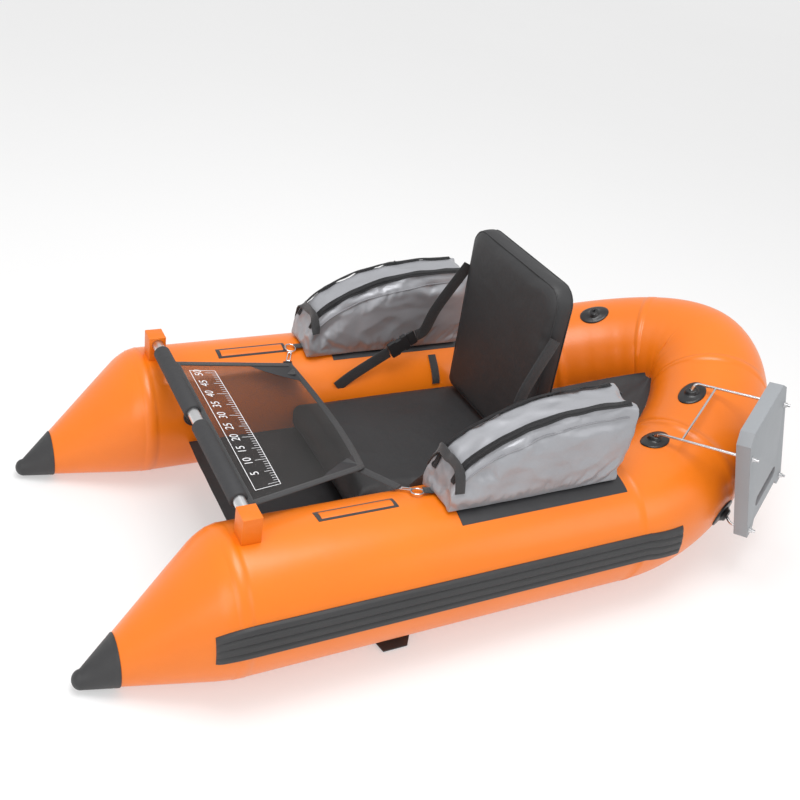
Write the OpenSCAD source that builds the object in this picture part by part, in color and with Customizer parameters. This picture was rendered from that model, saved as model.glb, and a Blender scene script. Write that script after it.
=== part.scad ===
// Inflatable U-shaped float boat with a seat, two side bags, a cross bar with a mesh apron
// and a transom plate on the port quarter. Millimetres. +X is the bow, +Y is port, +Z is up.

/* [Hull] */
// Diameter of the inflated tube
tube_d = 340; // [300:5:400]
// Distance from the centreline to the axis of each pontoon
tube_offset = 386; // [370:2:440]
// Length of the straight part of each pontoon
straight_l = 1080; // [1060:5:1200]
// Length of the conical bow end
cone_l = 285; // [250:5:320]
// Radius of the cone where it ends under the nose cap
cone_tip_r = 20; // [15:1:30]
// How far the stern bend reaches behind the straight part, on the tube axis
stern_l = 573; // [500:5:640]
// How much higher the stern apex is than the pontoons
stern_rise = 190; // [100:2:200]
// Thickness of the coated fabric of the tube
skin = 1.2; // [1:0.1:2]

/* [Seat] */
// Length of the seat cushion
seat_l = 630; // [560:5:650]
// Height of the seat's top face above the ground
seat_top = 250; // [235:1:255]
// Height of the backrest
back_h = 520; // [450:5:560]
// Width of the backrest
back_w = 430; // [380:5:440]
// Thickness of the backrest
back_t = 70; // [60:1:80]
// Distance of the backrest's front face from the stern end of the straight part
back_x = 197; // [180:1:230]

/* [Cross bar and apron] */
// Diameter of the cross bar
bar_d = 28; // [25:1:32]
// Wall of the cross bar
bar_wall = 1.5; // [1.2:0.1:3]
// Distance of the cross bar ahead of the stern bend
bar_x = 1017; // [980:1:1030]
// Height of the bar's axis above the ground
bar_z = 385; // [378:1:400]
// Outer diameter of the foam sleeves
foam_d = 42; // [38:1:50]
// Length of each foam sleeve
foam_l = 288; // [250:1:300]
// Length of bare bar between the sleeves
bare_l = 58; // [40:1:70]
// Distance from the apron's rear hem to the stern bend, at the corners
apron_x = 668; // [655:1:700]

/* [Bags] */
// Length of each side bag at its base
bag_l = 500; // [440:5:505]
// Height of the bag's top above the ground
bag_top = 556; // [520:1:570]
// Width of each bag
bag_w = 138; // [110:1:145]

/* [Transom plate] */
// Width of the plate
plate_w = 262; // [230:1:270]
// Height of the plate
plate_h = 350; // [330:1:360]
// Thickness of the plate
plate_t = 37; // [30:0.5:45]
// Diameter of the stainless rods
rod_d = 8; // [6:0.5:10]
// Distance from the plate to the upper pads
rod_l = 206; // [196:1:212]

/* [Hidden] */

gap = 0.3;
tube_r = tube_d / 2;
tube_sides = 32;
axis_h = tube_r * cos(180 / tube_sides);
bow_x = straight_l + cone_l;
bow_lift = 6;
bend_power = 2 / 1.75;
rise_power = 1.9;
foam_inner_gap = 0.05;
black = [0.06, 0.06, 0.065];
orange = [1, 0.5, 0.05];
silver = [0.72, 0.73, 0.76];
grey = [0.5, 0.51, 0.53];

strake_t = 8;
nut_h = 7;
washer_t = 1.5;
stud_out = 16;
plate_corner = [-213, 557, 501];
plate_turn = 206.5;
plate_lean = 12.2;
plate_roll = 16.5;
plate_stud_x = 14;
plate_stud_z = 75;
plate_low_z = 18;

// ---------- Tube path: s > 0 is the distance ahead of the bend, s < 0 is minus the bend angle
function signed_pow(v, p) = sign(v) * pow(abs(v), p);
function bend_point(a) =
    [-stern_l * signed_pow(sin(a), bend_power),
     tube_offset * signed_pow(cos(a), bend_power),
     axis_h + stern_rise * pow(abs(signed_pow(sin(a), bend_power)), rise_power)];
function tube_rad(s) =
    s <= straight_l ? tube_r : tube_r + (cone_tip_r - tube_r) * (s - straight_l) / cone_l;
function tube_point(s) =
    s < 0 ? bend_point(-s)
    : [s, tube_offset, tube_rad(s) * cos(180 / tube_sides) + bow_lift * max(0, s - straight_l) / cone_l];
function unit(v) = v / norm(v);
function tube_dir(s) = s >= 0 ? [-1, 0, 0] : unit(bend_point(-s + 0.5) - bend_point(-s - 0.5));
function out_dir(s) = unit(cross(tube_dir(s), [0, 0, 1]));
function up_dir(s) = cross(out_dir(s), tube_dir(s));
function on_tube(s, a, off) =
    tube_point(s) + (tube_rad(s) + off) * (sin(a) * out_dir(s) + cos(a) * up_dir(s));
function side_angle(k) = (k + 0.5) * 360 / tube_sides;
function tube_ring(s, off) = [for (k = [0 : tube_sides - 1]) on_tube(s, side_angle(k), off)];

// ---------- Solids from rings
function middle(ring) = [for (axis = [0 : 2]) sum([for (p = ring) p[axis]]) / len(ring)];
function sum(v, i = 0) = i == len(v) - 1 ? v[i] : v[i] + sum(v, i + 1);
function ring_normal(ring, c) =
    let (n = len(ring), parts = [for (k = [0 : n - 1]) cross(ring[k] - c, ring[(k + 1) % n] - c)])
    [for (axis = [0 : 2]) sum([for (v = parts) v[axis]])];
function two_triangles(a, b, c, d) = [[a, b, c], [a, c, d]];
function wall_faces(n, m) = [for (i = [0 : m - 2], k = [0 : n - 1])
    each two_triangles(i * n + k, i * n + (k + 1) % n, (i + 1) * n + (k + 1) % n, (i + 1) * n + k)];
// A cap is a ladder of triangles, because its ring need not be flat
function cap_faces(n, at) = [for (k = [0 : floor(n / 2) - 2])
    each two_triangles(at + n - 1 - k, at + n - 2 - k, at + k + 1, at + k)];
function backwards(v) = [for (k = [len(v) - 1 : -1 : 0]) v[k]];
// Closed solid through rings that all have the same even number of points
module loft(rings) {
    n = len(rings[0]);
    m = len(rings);
    c = middle(rings[0]);
    ordered = ring_normal(rings[0], c) * (middle(rings[1]) - c) > 0;
    faces = concat(cap_faces(n, 0), wall_faces(n, m),
        [for (f = cap_faces(n, (m - 1) * n)) backwards(f)]);
    polyhedron(points = [for (r = rings) each r], faces = ordered ? [for (f = faces) backwards(f)] : faces);
}
// A band glued on the tube, between two offsets, from angle a0 to a1 at each station
module tube_band(stations, a0, a1, off0, off1, steps = 6) {
    loft([for (s = stations) concat(
        [for (k = [0 : steps]) on_tube(s, a0 + (a1 - a0) * k / steps, off1)],
        [for (k = [steps : -1 : 0]) on_tube(s, a0 + (a1 - a0) * k / steps, off0)])]);
}
// Flat webbing: width in the plane across `side`, along the points
module webbing(pts, width, thick, side) {
    n = len(pts);
    function along(i) = unit(pts[min(i + 1, n - 1)] - pts[max(i - 1, 0)]);
    function flat(i) = unit(cross(side, along(i)));
    loft([for (i = [0 : n - 1]) [
        pts[i] + side * thick / 2 + flat(i) * width / 2, pts[i] + side * thick / 2 - flat(i) * width / 2,
        pts[i] - side * thick / 2 - flat(i) * width / 2, pts[i] - side * thick / 2 + flat(i) * width / 2]]);
}
module starboard() {
    mirror([0, 1, 0]) children();
}

// ---------- Hull
bend_step = 6;
hull_stations = concat([bow_x, straight_l + cone_l / 2, straight_l + 12, straight_l - 25, straight_l / 2],
                       [0], [for (a = [bend_step : bend_step : 72]) -a], [-90]);
module tube_solid(off, trim) {
    loft([for (s = hull_stations)
        s == bow_x ? [for (p = tube_ring(s, off)) p - [trim, 0, 0]]
        : s == -90 ? [for (p = tube_ring(s, off)) p + [0, trim, 0]]
        : tube_ring(s, off)]);
}
module half_tube() {
    color(orange) difference() {
        tube_solid(0, gap);
        tube_solid(-skin, skin + gap);
    }
}
module port_tube() {
    half_tube();
}
module starboard_tube() {
    starboard() half_tube();
}
module stern_baffle() {
    color("dimgray") loft([for (y = [-gap / 2, gap / 2])
        [for (p = tube_ring(-90, -skin - 1)) p + [0, -y, 0]]]);
}

// ---------- Nose caps: a rubber sleeve over the end of the cone
cap_l = 72;
cap_wall = 2.5;
cap_dome = 20;
module nose_cap() {
    color(black) difference() {
        loft(concat(
            [for (a = [90 : -22.5 : 22.5]) [for (p = tube_ring(bow_x, cap_wall))
                let (c = tube_point(bow_x)) [bow_x + cap_dome * sin(a), 0, 0]
                    + (p - [bow_x, 0, 0] - [0, c[1], c[2]]) * (cos(a) * 0.98 + 0.02) + [0, c[1], c[2]]]],
            [tube_ring(bow_x, cap_wall), tube_ring(bow_x - cap_l, cap_wall)]));
        loft([tube_ring(bow_x, gap), tube_ring(bow_x - cap_l - 1, gap)]);
    }
}
module port_nose_cap() {
    nose_cap();
}
module starboard_nose_cap() {
    starboard() nose_cap();
}

// ---------- Rub strakes: a ribbed rubber band along the outer side
strake_ribs = 4;
strake_base = 4;
strake_rib = strake_t - strake_base;
strake_stations = concat([straight_l + 42, straight_l + 12, straight_l - 25, straight_l / 2, 0], [for (a = [3 : 3 : 12]) -a]);
function strake_top(s) = s >= 0 ? 66 : 66 + 4 * -s / 12;
function strake_span(s) = s >= 0 ? 26 : 26 + 4 * -s / 12;
function rib_height(k, n) = (k % 4 == 1 || k % 4 == 2) ? strake_base + strake_rib : strake_base;
module rub_strake() {
    n = strake_ribs * 4;
    color(black) loft([for (s = strake_stations) concat(
        [for (k = [0 : n]) on_tube(s, strake_top(s) + strake_span(s) * k / n, gap + rib_height(k, n))],
        [for (k = [n : -1 : 0]) on_tube(s, strake_top(s) + strake_span(s) * k / n, gap)])]);
}
module port_rub_strake() {
    rub_strake();
}
module starboard_rub_strake() {
    starboard() rub_strake();
}

// ---------- Skegs: soft rubber fins folded flat under the pontoons
skeg_x = 650;
skeg_l = 120;
skeg_t = 4;
module skeg() {
    y0 = tube_offset + 52;
    z0 = axis_h - sqrt(pow(tube_r, 2) - pow(52, 2)) - gap - skeg_t;
    color(black) translate([skeg_x, y0, 0]) loft([for (k = [0, 1]) [
        [-skeg_l / 2 + k * 42, k * 62, z0 * (1 - k) + k * 1],
        [-skeg_l / 2 + k * 42, k * 62, z0 * (1 - k) + k * 1 + skeg_t],
        [skeg_l / 2 - k * 14, k * 62, z0 * (1 - k) + k * 1 + skeg_t],
        [skeg_l / 2 - k * 14, k * 62, z0 * (1 - k) + k * 1]]]);
}
module port_skeg() {
    skeg();
}
module starboard_skeg() {
    starboard() skeg();
}

// ---------- Floor sheet, glued low on the inner sides of the tube
floor_t = 3;
floor_x = 965;
floor_a = -93;
floor_seat = gap;
floor_stations = concat([floor_x, seat_l, 0], [for (a = [bend_step : bend_step : 72]) -a]);
module floor_sheet() {
    color(black) loft([for (s = floor_stations)
        let (p = on_tube(s, floor_a, floor_seat)) [
            [p[0], p[1], p[2] + floor_t / 2], [p[0], -p[1], p[2] + floor_t / 2],
            [p[0], -p[1], p[2] - floor_t / 2], [p[0], p[1], p[2] - floor_t / 2]]]);
}

// ---------- Seat cushion and backrest
seat_x0 = 60;
seat_bottom = axis_h + 2 * gap;
seat_clear = 1;
function tube_inner(z) = tube_offset - sqrt(pow(tube_r, 2) - pow(z - axis_h, 2)) - seat_clear;
module seat_cushion() {
    color(black) translate([seat_x0, 0, 0]) rotate([90, 0, 90]) linear_extrude(seat_l) polygon(concat(
        [for (k = [0 : 4]) let (z = seat_bottom + (seat_top - seat_bottom) * k / 4) [tube_inner(z), z]],
        [for (k = [4 : -1 : 0]) let (z = seat_bottom + (seat_top - seat_bottom) * k / 4) [-tube_inner(z), z]]));
}
valve_r = 15;
module screw_valve(r, h) {
    cylinder(r = r, h = h * 0.45, $fn = 48);
    translate([0, 0, h * 0.45]) cylinder(r = r * 0.72, h = h * 0.55, $fn = 48);
}
module seat_valve() {
    color(black) translate([seat_x0 - gap, 120, seat_bottom + 45]) rotate([0, -90, 0]) screw_valve(valve_r, 14);
}
back_corner = 55;
back_foot = 22;
back_lean = 1.5;
module rounded_panel(w, h, top_r, foot_r) {
    for (side = [-1, 1]) {
        translate([side * (w / 2 - top_r), h - top_r]) circle(r = top_r, $fn = 64);
        translate([side * (w / 2 - foot_r), foot_r]) circle(r = foot_r, $fn = 64);
    }
    translate([-w / 2, foot_r]) square([w, h - top_r - foot_r]);
    translate([-w / 2 + foot_r, 0]) square([w - 2 * foot_r, h - top_r]);
    translate([-w / 2 + top_r, foot_r]) square([w - 2 * top_r, h - foot_r]);
}
// The backrest's own frame: origin at the middle of its front lower edge, Z up the panel
module on_back() {
    translate([back_x, 0, seat_top + gap]) rotate([0, back_lean, 0]) children();
}
module backrest() {
    color(black) on_back() rotate([90, 0, -90]) linear_extrude(back_t)
        rounded_panel(back_w, back_h, back_corner, back_foot);
}
module backrest_valve() {
    color(black) on_back() translate([-back_t - gap, -110, 90]) rotate([0, -90, 0]) screw_valve(valve_r, 14);
}

// ---------- Backrest stays: webbing from the backrest's edge down to the inner side of the tube
stay_w = 38;
stay_t = 1.6;
stay_y = back_w / 2 + 12;
stay_foot = [522, tube_offset - 146.4, 273];
stay_head = [back_x - 8, back_w / 2 + stay_t / 2 + gap, seat_top + 385];
buckle_l = 62;
buckle_w = 50;
buckle_t = 12;
buckle_mid = [352, stay_y + 18, 374];
stay_dir = unit([buckle_mid[0], 0, buckle_mid[2]] - [stay_foot[0], 0, stay_foot[2]]);
buckle_tilt = atan2(stay_dir[2], -stay_dir[0]);
latch_l = 26;
function stay_at(t) = buckle_mid + stay_dir * t;
module back_stay() {
    color(black) {
        webbing([stay_foot, stay_foot + [-30, 2, 20], stay_at(-buckle_l / 2 - 20), stay_at(-buckle_l / 2 - 2 * gap)],
            stay_w, stay_t, [0, 1, 0]);
        webbing([stay_at(buckle_l / 2 + latch_l + 0.8), stay_at(buckle_l / 2 + latch_l + 20),
            [back_x + 60, stay_y + 4, seat_top + 250], stay_head],
            stay_w, stay_t, [0, 1, 0]);
    }
}
module on_stay() {
    translate(buckle_mid) rotate([0, 180 + buckle_tilt, 0]) children();
}
module rounded_block(l, w, t, r) {
    rotate([90, 0, 0]) translate([0, 0, -t / 2]) linear_extrude(t) {
        for (i = [-1, 1], j = [-1, 1]) translate([i * (l / 2 - r), j * (w / 2 - r)]) circle(r = r, $fn = 32);
        square([l - 2 * r, w], center = true);
        square([l, w - 2 * r], center = true);
    }
}
module stay_buckle() {
    color(black) on_stay() difference() {
        rounded_block(buckle_l, buckle_w, buckle_t, 6);
        translate([buckle_l / 2 - 18, 0, 0]) cube([40, buckle_t - 5, buckle_w - 12], center = true);
        for (k = [-1, 1]) translate([buckle_l / 2 - 26, 0, k * buckle_w / 2]) cube([18, buckle_t + 1, 9], center = true);
    }
}
module buckle_latch() {
    color(black) on_stay() {
        translate([buckle_l / 2 - 17, 0, 0]) cube([34, buckle_t - 6.5, 14], center = true);
        translate([buckle_l / 2 + latch_l / 2 + gap, 0, 0]) rounded_block(latch_l - 1, buckle_w - 4, buckle_t - 6.5, 5);
    }
}
module port_back_stay() {
    back_stay();
}
module starboard_back_stay() {
    starboard() back_stay();
}
module port_stay_buckle() {
    stay_buckle();
}
module starboard_stay_buckle() {
    starboard() stay_buckle();
}
module port_buckle_latch() {
    buckle_latch();
}
module starboard_buckle_latch() {
    starboard() buckle_latch();
}

// ---------- Cross bar in its two end sockets
bar_half = bare_l / 2 + foam_l + 68;
socket_l = 50;
socket_w = 44;
socket_grip = 27;
socket_wall = 6;
bar_clear = 0.05;
socket_y = bar_half - socket_grip;
module bar_socket() {
    color(orange) difference() {
        translate([bar_x - socket_w / 2, socket_y, axis_h + tube_r / 2])
            cube([socket_w, socket_l, bar_z + bar_d / 2 + socket_wall - axis_h - tube_r / 2]);
        translate([bar_x, socket_y - 1, bar_z]) rotate([-90, 0, 0])
            cylinder(r = bar_d / 2 + bar_clear, h = socket_grip + 2, $fn = 64);
        translate([bar_x, tube_offset, axis_h]) rotate([0, 90, 0])
            cylinder(r = tube_r + gap, h = 3 * socket_w, center = true, $fn = 128);
    }
}
module port_bar_socket() {
    bar_socket();
}
module starboard_bar_socket() {
    starboard() bar_socket();
}
module cross_bar() {
    color("lightgray") translate([bar_x, 0, bar_z]) rotate([90, 0, 0]) difference() {
        cylinder(r = bar_d / 2, h = 2 * bar_half, center = true, $fn = 64);
        cylinder(r = bar_d / 2 - bar_wall, h = 2 * bar_half + 2, center = true, $fn = 64);
    }
}
module bar_end_plugs() {
    color(black) for (k = [-1, 1]) translate([bar_x, k * (bar_half - 9), bar_z]) rotate([90, 0, 0])
        cylinder(r = bar_d / 2 - bar_wall - bar_clear, h = 16, center = true, $fn = 64);
}
module foam_sleeve() {
    color(black) translate([bar_x, bare_l / 2 + foam_l, bar_z]) rotate([90, 0, 0]) difference() {
        cylinder(r = foam_d / 2, h = foam_l, $fn = 64);
        translate([0, 0, -1]) cylinder(r = bar_d / 2 + foam_inner_gap, h = foam_l + 2, $fn = 64);
    }
}
module port_foam_sleeve() {
    foam_sleeve();
}
module starboard_foam_sleeve() {
    starboard() foam_sleeve();
}

// ---------- Apron: a mesh sheet from the bar to two corner straps
apron_t = 1.2;
apron_front = bar_x - foam_d / 2 - gap;
apron_steps = 6;
apron_front_y = [-266, 336];
apron_rear_y = [-288, 206];
apron_front_z = bar_z - 3;
apron_rear_z = 326;
apron_sag = 30;
apron_bow = 34;
function mix(a, b, t) = a + (b - a) * t;
// u runs from -1 at starboard to 1 at port, v from the bar to the rear hem
function apron_point(u, v) = [
    mix(apron_front, apron_x - apron_bow * (1 - u * u), v),
    mix(mix(apron_front_y[0], apron_rear_y[0], v), mix(apron_front_y[1], apron_rear_y[1], v), (u + 1) / 2),
    mix(apron_front_z, apron_rear_z, v) - apron_sag * (1 - u * u) * sin(90 * v)];
module apron_mesh() {
    color(black) loft([for (i = [0 : apron_steps]) let (v = i / apron_steps) concat(
        [for (k = [-apron_steps : apron_steps]) apron_point(k / apron_steps, v)],
        [for (k = [apron_steps : -1 : -apron_steps]) apron_point(k / apron_steps, v) - [0, 0, apron_t]])]);
}
hook_l = 33;
hook_t = 4;
hook_h = 12;
strap_w = 24;
strap_t = 1.6;
ring_at = [588, 345];
function tube_top(y) = axis_h + sqrt(pow(tube_r, 2) - pow(y - tube_offset, 2));
hook_from = [ring_at[0] + 22, ring_at[1] - 42, tube_top(ring_at[1] - 42) + 8];
hook_dir = unit([ring_at[0] + 3, ring_at[1] - 9, tube_top(ring_at[1]) + 7] - hook_from);
hook_turn = atan2(hook_dir[1], hook_dir[0]);
hook_rise = asin(hook_dir[2]);
module apron_strap(u, to, under) {
    corner = apron_point(u, 1);
    way = unit([to[0] - corner[0], to[1] - corner[1], 0]);
    webbing([corner - way * 14 - under - [0, 0, 5], corner + way * 16 - under, to], strap_t, strap_w, cross(way, [0, 0, 1]));
}
module apron_straps() {
    reach = hook_dir * 2 * gap;
    under = [0, 0, apron_t + 2 * strap_t + gap];
    color(black) {
        apron_strap(1, hook_from - reach, under);
        apron_strap(-1, [hook_from[0] + starboard_bag_ahead, -hook_from[1], hook_from[2]]
            - [reach[0], -reach[1], reach[2]] * 5, under);
    }
}
// A wire link between the strap and the ring at the bag
module snap_hook() {
    color("silver") translate(hook_from) rotate([0, -hook_rise, hook_turn]) linear_extrude(hook_t, center = true) difference() {
        translate([0, -hook_h / 2]) square([hook_l, hook_h]);
        translate([4, -hook_h / 2 + 3]) square([hook_l - 8, hook_h - 6]);
    }
}
module port_snap_hook() {
    snap_hook();
}
module starboard_snap_hook() {
    on_starboard_bag() snap_hook();
}

// ---------- Side bags on their base plates
base_t = 3;
base_x0 = 45;
base_l = 478;
base_a0 = -30;
base_a1 = 25;
module bag_base() {
    color(black) tube_band([base_x0 + base_l, base_x0], base_a0, base_a1, gap, gap + base_t, 8);
}
module port_bag_base() {
    bag_base();
}
module starboard_bag_base() {
    starboard() bag_base();
}
bag_x0 = base_x0 + 12;
bag_nose_z = 392;
bag_flat_x = 170;
bag_y0 = tube_offset - 86;
bag_steps = 10;
bag_side_steps = 8;
bag_round = 16;
bag_seat = 0.9;
starboard_bag_ahead = 55;
function bag_x(v) = bag_x0 + bag_l * v;
function bag_rise(x) = let (t = max(0, (x - bag_flat_x) / (bag_x(1) - bag_flat_x))) pow(max(0, 1 - t * t), 0.6);
function bag_height(x) = mix(bag_nose_z, bag_top, bag_rise(x));
function bag_floor(y) = axis_h + sqrt(pow(tube_r + gap + base_t + bag_seat, 2) - pow(y - tube_offset, 2));
module bag() {
    color(silver) loft([for (i = [0 : bag_steps])
        let (x = bag_x(1 - pow(i / bag_steps, 1.5)), top = bag_height(x), y1 = bag_y0 + bag_w, r = min(bag_round, (top - bag_nose_z) / 2 + 4))
        concat(
            [[x, bag_y0, top - r], [x, bag_y0 + r / 3, top - r / 3], [x, bag_y0 + r, top],
             [x, mix(bag_y0, y1, 0.33), top], [x, (bag_y0 + y1) / 2, top], [x, mix(bag_y0, y1, 0.67), top],
             [x, y1 - r, top], [x, y1 - r / 3, top - r / 3], [x, y1, top - r]],
            [for (k = [bag_side_steps : -1 : 0]) let (y = bag_y0 + bag_w * k / bag_side_steps) [x, y, bag_floor(y)]])]);
}
module port_bag() {
    bag();
}
module starboard_bag() {
    on_starboard_bag() bag();
}

// ---------- Zips: the slider stays on the teeth, the pull tab swings on it
zip_x = bag_x(0.4);
slider_l = 14;
slider_w = 10;
slider_h = 4;
pull_l = 26;
pull_w = 7;
pull_t = 1.6;
zip_seat = 0.6;
zip_slope = atan2(bag_height(zip_x - 20) - bag_height(zip_x + 20), 40);
module at_zip(y) {
    translate([zip_x, y, bag_height(zip_x) + zip_seat]) rotate([0, zip_slope, 0]) children();
}
module zip_slider() {
    translate([-slider_l / 2, -slider_w / 2, 0]) cube([slider_l, slider_w, slider_h]);
    for (k = [-1, 1]) translate([-2, k * (slider_w / 2 - 1) - 1, slider_h]) cube([4, 2, 4]);
}
module zip_pull() {
    translate([0, 0, slider_h + 2]) {
        rotate([90, 0, 0]) cylinder(r = 1, h = slider_w - 4 - 2 * gap, center = true, $fn = 24);
        translate([0.9, -pull_w / 2 + 1, -pull_t / 2]) cube([pull_l, pull_w - 2, pull_t]);
    }
}
zip_ys = [bag_y0 + 26, bag_y0 + bag_w - 26];
module zip_sliders() {
    color(black) for (y = zip_ys) at_zip(y) zip_slider();
}
module port_zip_sliders() {
    zip_sliders();
}
module on_starboard_bag() {
    starboard() translate([starboard_bag_ahead, 0, 0]) children();
}
module starboard_zip_sliders() {
    on_starboard_bag() zip_sliders();
}
module port_top_zip_pull() {
    color(black) at_zip(zip_ys[0]) zip_pull();
}
module starboard_top_zip_pull() {
    on_starboard_bag() color(black) at_zip(zip_ys[0]) zip_pull();
}
module port_pocket_zip_pull() {
    color(black) at_zip(zip_ys[1]) zip_pull();
}
module starboard_pocket_zip_pull() {
    on_starboard_bag() color(black) at_zip(zip_ys[1]) zip_pull();
}

// ---------- D-rings at the bow end of the bags, hanging in a webbing tab
ring_r = 15;
ring_wire = 2;
ring_tilt = 12;
ring_z = tube_top(ring_at[1]) + ring_wire + 6.5;
module bag_ring() {
    color("silver") translate([ring_at[0], ring_at[1], ring_z]) rotate([ring_tilt, 0, 0]) rotate_extrude($fn = 64)
        translate([ring_r, 0]) circle(r = ring_wire, $fn = 24);
}
module port_bag_ring() {
    bag_ring();
}
module starboard_bag_ring() {
    on_starboard_bag() bag_ring();
}

// ---------- Carry handles: a webbing strip under a fabric cover
handle_x0 = 655;
handle_l = 195;
handle_t = 4;
handle_a = -8.5;
handle_half_a = 6.5;
module carry_handle() {
    color(orange) tube_band([handle_x0 + handle_l, handle_x0],
        handle_a - handle_half_a, handle_a + handle_half_a, gap, gap + handle_t, 3);
}
module port_carry_handle() {
    carry_handle();
}
module starboard_carry_handle() {
    starboard() carry_handle();
}

// ---------- Main inflation valves on the inner side of each pontoon, with screw caps
valve_s = 955;
valve_a = -68;
valve_body_r = 24;
module on_surface(s, a, off) {
    p = on_tube(s, a, off);
    n = unit(p - tube_point(s));
    translate(p) rotate([0, acos(n[2]), atan2(n[1], n[0])]) children();
}
module main_valve() {
    color(black) on_surface(valve_s, valve_a, gap) difference() {
        cylinder(r = valve_body_r, h = 6, $fn = 64);
        translate([0, 0, -1]) cylinder(r = 9, h = 8, $fn = 48);
    }
}
module main_valve_cap() {
    color(black) on_surface(valve_s, valve_a, gap + 6 + gap) {
        cylinder(r = 19, h = 6, $fn = 64);
        translate([-16, -2, 6]) cube([32, 4, 4]);
        translate([0, 0, -6 - gap]) cylinder(r = 8.95, h = 7, $fn = 48);
    }
}
module port_valve() {
    main_valve();
}
module starboard_valve() {
    starboard() main_valve();
}
module port_valve_cap() {
    main_valve_cap();
}
module starboard_valve_cap() {
    starboard() main_valve_cap();
}

// ---------- Rubber pads with bosses on the quarters, rods and transom plate
pad_t = 3;
pad_s = [-22.5, -48];
pad_a = [-13, -18];
pad_span_s = [8, 6];
pad_seat = 1;
boss_r = 18;
boss_h = 11;
boss_bore_r = rod_d / 2 + 0.1;
module pad(i) {
    tube_band([for (k = [1, 0.5, 0, -0.5, -1]) pad_s[i] + k * pad_span_s[i]], pad_a[i] - 11, pad_a[i] + 11,
        pad_seat, pad_seat + pad_t, 4);
}
module pad_boss(i) {
    on_surface(pad_s[i], pad_a[i], pad_seat + pad_t + gap) difference() {
        cylinder(r1 = boss_r, r2 = boss_r * 0.6, h = boss_h, $fn = 48);
        translate([0, 0, -1]) cylinder(r = boss_bore_r, h = boss_h + 2, $fn = 48);
    }
}
module upper_pads() {
    color(black) for (i = [0, 1]) {
        pad(i);
        pad_boss(i);
    }
}
module port_upper_pads() {
    upper_pads();
}
module starboard_upper_pads() {
    starboard() upper_pads();
}
// The plate's own frame: X along its top edge away from the bow, Y inboard, Z up the plate
module at_plate() {
    translate(plate_corner) rotate([0, 0, plate_turn]) rotate([-plate_lean, 0, 0]) rotate([0, -plate_roll, 0]) children();
}
stud_xs = [plate_stud_x, plate_w - plate_stud_x];
rod_clear = 0.05;
weld_r = 0.6;
ear_r = 17;
slot_w = 150;
slot_h = 34;
slot_z = 78;
module rod_y(x, z, y0, y1) {
    translate([x, y0, z]) rotate([-90, 0, 0]) cylinder(r = rod_d / 2, h = y1 - y0, $fn = 48);
}
function plate_to_hull(p) =
    let (x = cos(plate_roll) * p[0] - sin(plate_roll) * p[2],
         z = sin(plate_roll) * p[0] + cos(plate_roll) * p[2],
         y = cos(plate_lean) * p[1] + sin(plate_lean) * z)
    plate_corner + [cos(plate_turn) * x - sin(plate_turn) * y, sin(plate_turn) * x + cos(plate_turn) * y,
                    cos(plate_lean) * z - sin(plate_lean) * p[1]];
module round_bar(from, to, r) {
    v = to - from;
    translate(from) rotate([0, acos(v[2] / norm(v)), atan2(v[1], v[0])]) cylinder(r = r, h = norm(v), $fn = 48);
}
module upper_rod_frame() {
    cross_y = plate_t + rod_l - 58;
    color("lightgray") {
        at_plate() {
            for (x = stud_xs) {
                rod_y(x, -plate_stud_z, -stud_out, plate_t + rod_l);
                translate([x, plate_t + rod_l, -plate_stud_z]) sphere(r = rod_d / 2 + weld_r, $fn = 48);
            }
            translate([stud_xs[0], cross_y, -plate_stud_z]) rotate([0, 90, 0])
                cylinder(r = rod_d / 2 - 1, h = stud_xs[1] - stud_xs[0], $fn = 48);
        }
        for (i = [0, 1]) {
            seat_point = on_tube(pad_s[i], pad_a[i], pad_seat + pad_t + boss_h + rod_d / 2 + 2 * gap);
            round_bar(plate_to_hull([stud_xs[i], plate_t + rod_l, -plate_stud_z]), seat_point, rod_d / 2);
            translate(seat_point) sphere(r = rod_d / 2 + gap, $fn = 48);
        }
    }
}
low_l = 15;
low_s = [-29, -46];
low_a = [96, 96];
low_boss_h = 12;
module lower_rods() {
    color("lightgray") for (i = [0, 1]) {
        at_plate() {
            rod_y(stud_xs[i], -plate_h + plate_low_z, -stud_out, plate_t + low_l);
            translate([stud_xs[i], plate_t + low_l, -plate_h + plate_low_z]) sphere(r = rod_d / 2 + weld_r, $fn = 48);
        }
        low_point = on_tube(low_s[i], low_a[i], pad_seat + pad_t + low_boss_h + rod_d / 2 + 3 * gap);
        round_bar(plate_to_hull([stud_xs[i], plate_t + low_l, -plate_h + plate_low_z]), low_point, rod_d / 2);
        translate(low_point) sphere(r = rod_d / 2 + gap, $fn = 48);
    }
}
module transom_plate() {
    color(grey) at_plate() difference() {
        union() {
            translate([0, plate_t, -plate_h]) rotate([90, 0, 0]) linear_extrude(plate_t) polygon([
                [0, 0], [2 * ear_r, 0], [2 * ear_r + 18, 26], [plate_w - 2 * ear_r - 18, 26], [plate_w - 2 * ear_r, 0],
                [plate_w, 0], [plate_w, plate_h - 26], [plate_w - 26, plate_h], [26, plate_h], [0, plate_h - 26]]);
        }
        translate([plate_w / 2, plate_t / 2, -plate_h + slot_z]) rotate([90, 0, 0]) {
            for (k = [-1, 1]) translate([k * (slot_w - slot_h) / 2, 0, 0])
                cylinder(r = slot_h / 2, h = plate_t + 2, center = true, $fn = 48);
            cube([slot_w - slot_h, slot_h, plate_t + 2], center = true);
        }
        for (x = stud_xs, z = [-plate_stud_z, -plate_h + plate_low_z])
            translate([x, -1, z]) rotate([-90, 0, 0]) cylinder(r = rod_d / 2 + rod_clear, h = plate_t + 2, $fn = 48);
    }
}
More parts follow.
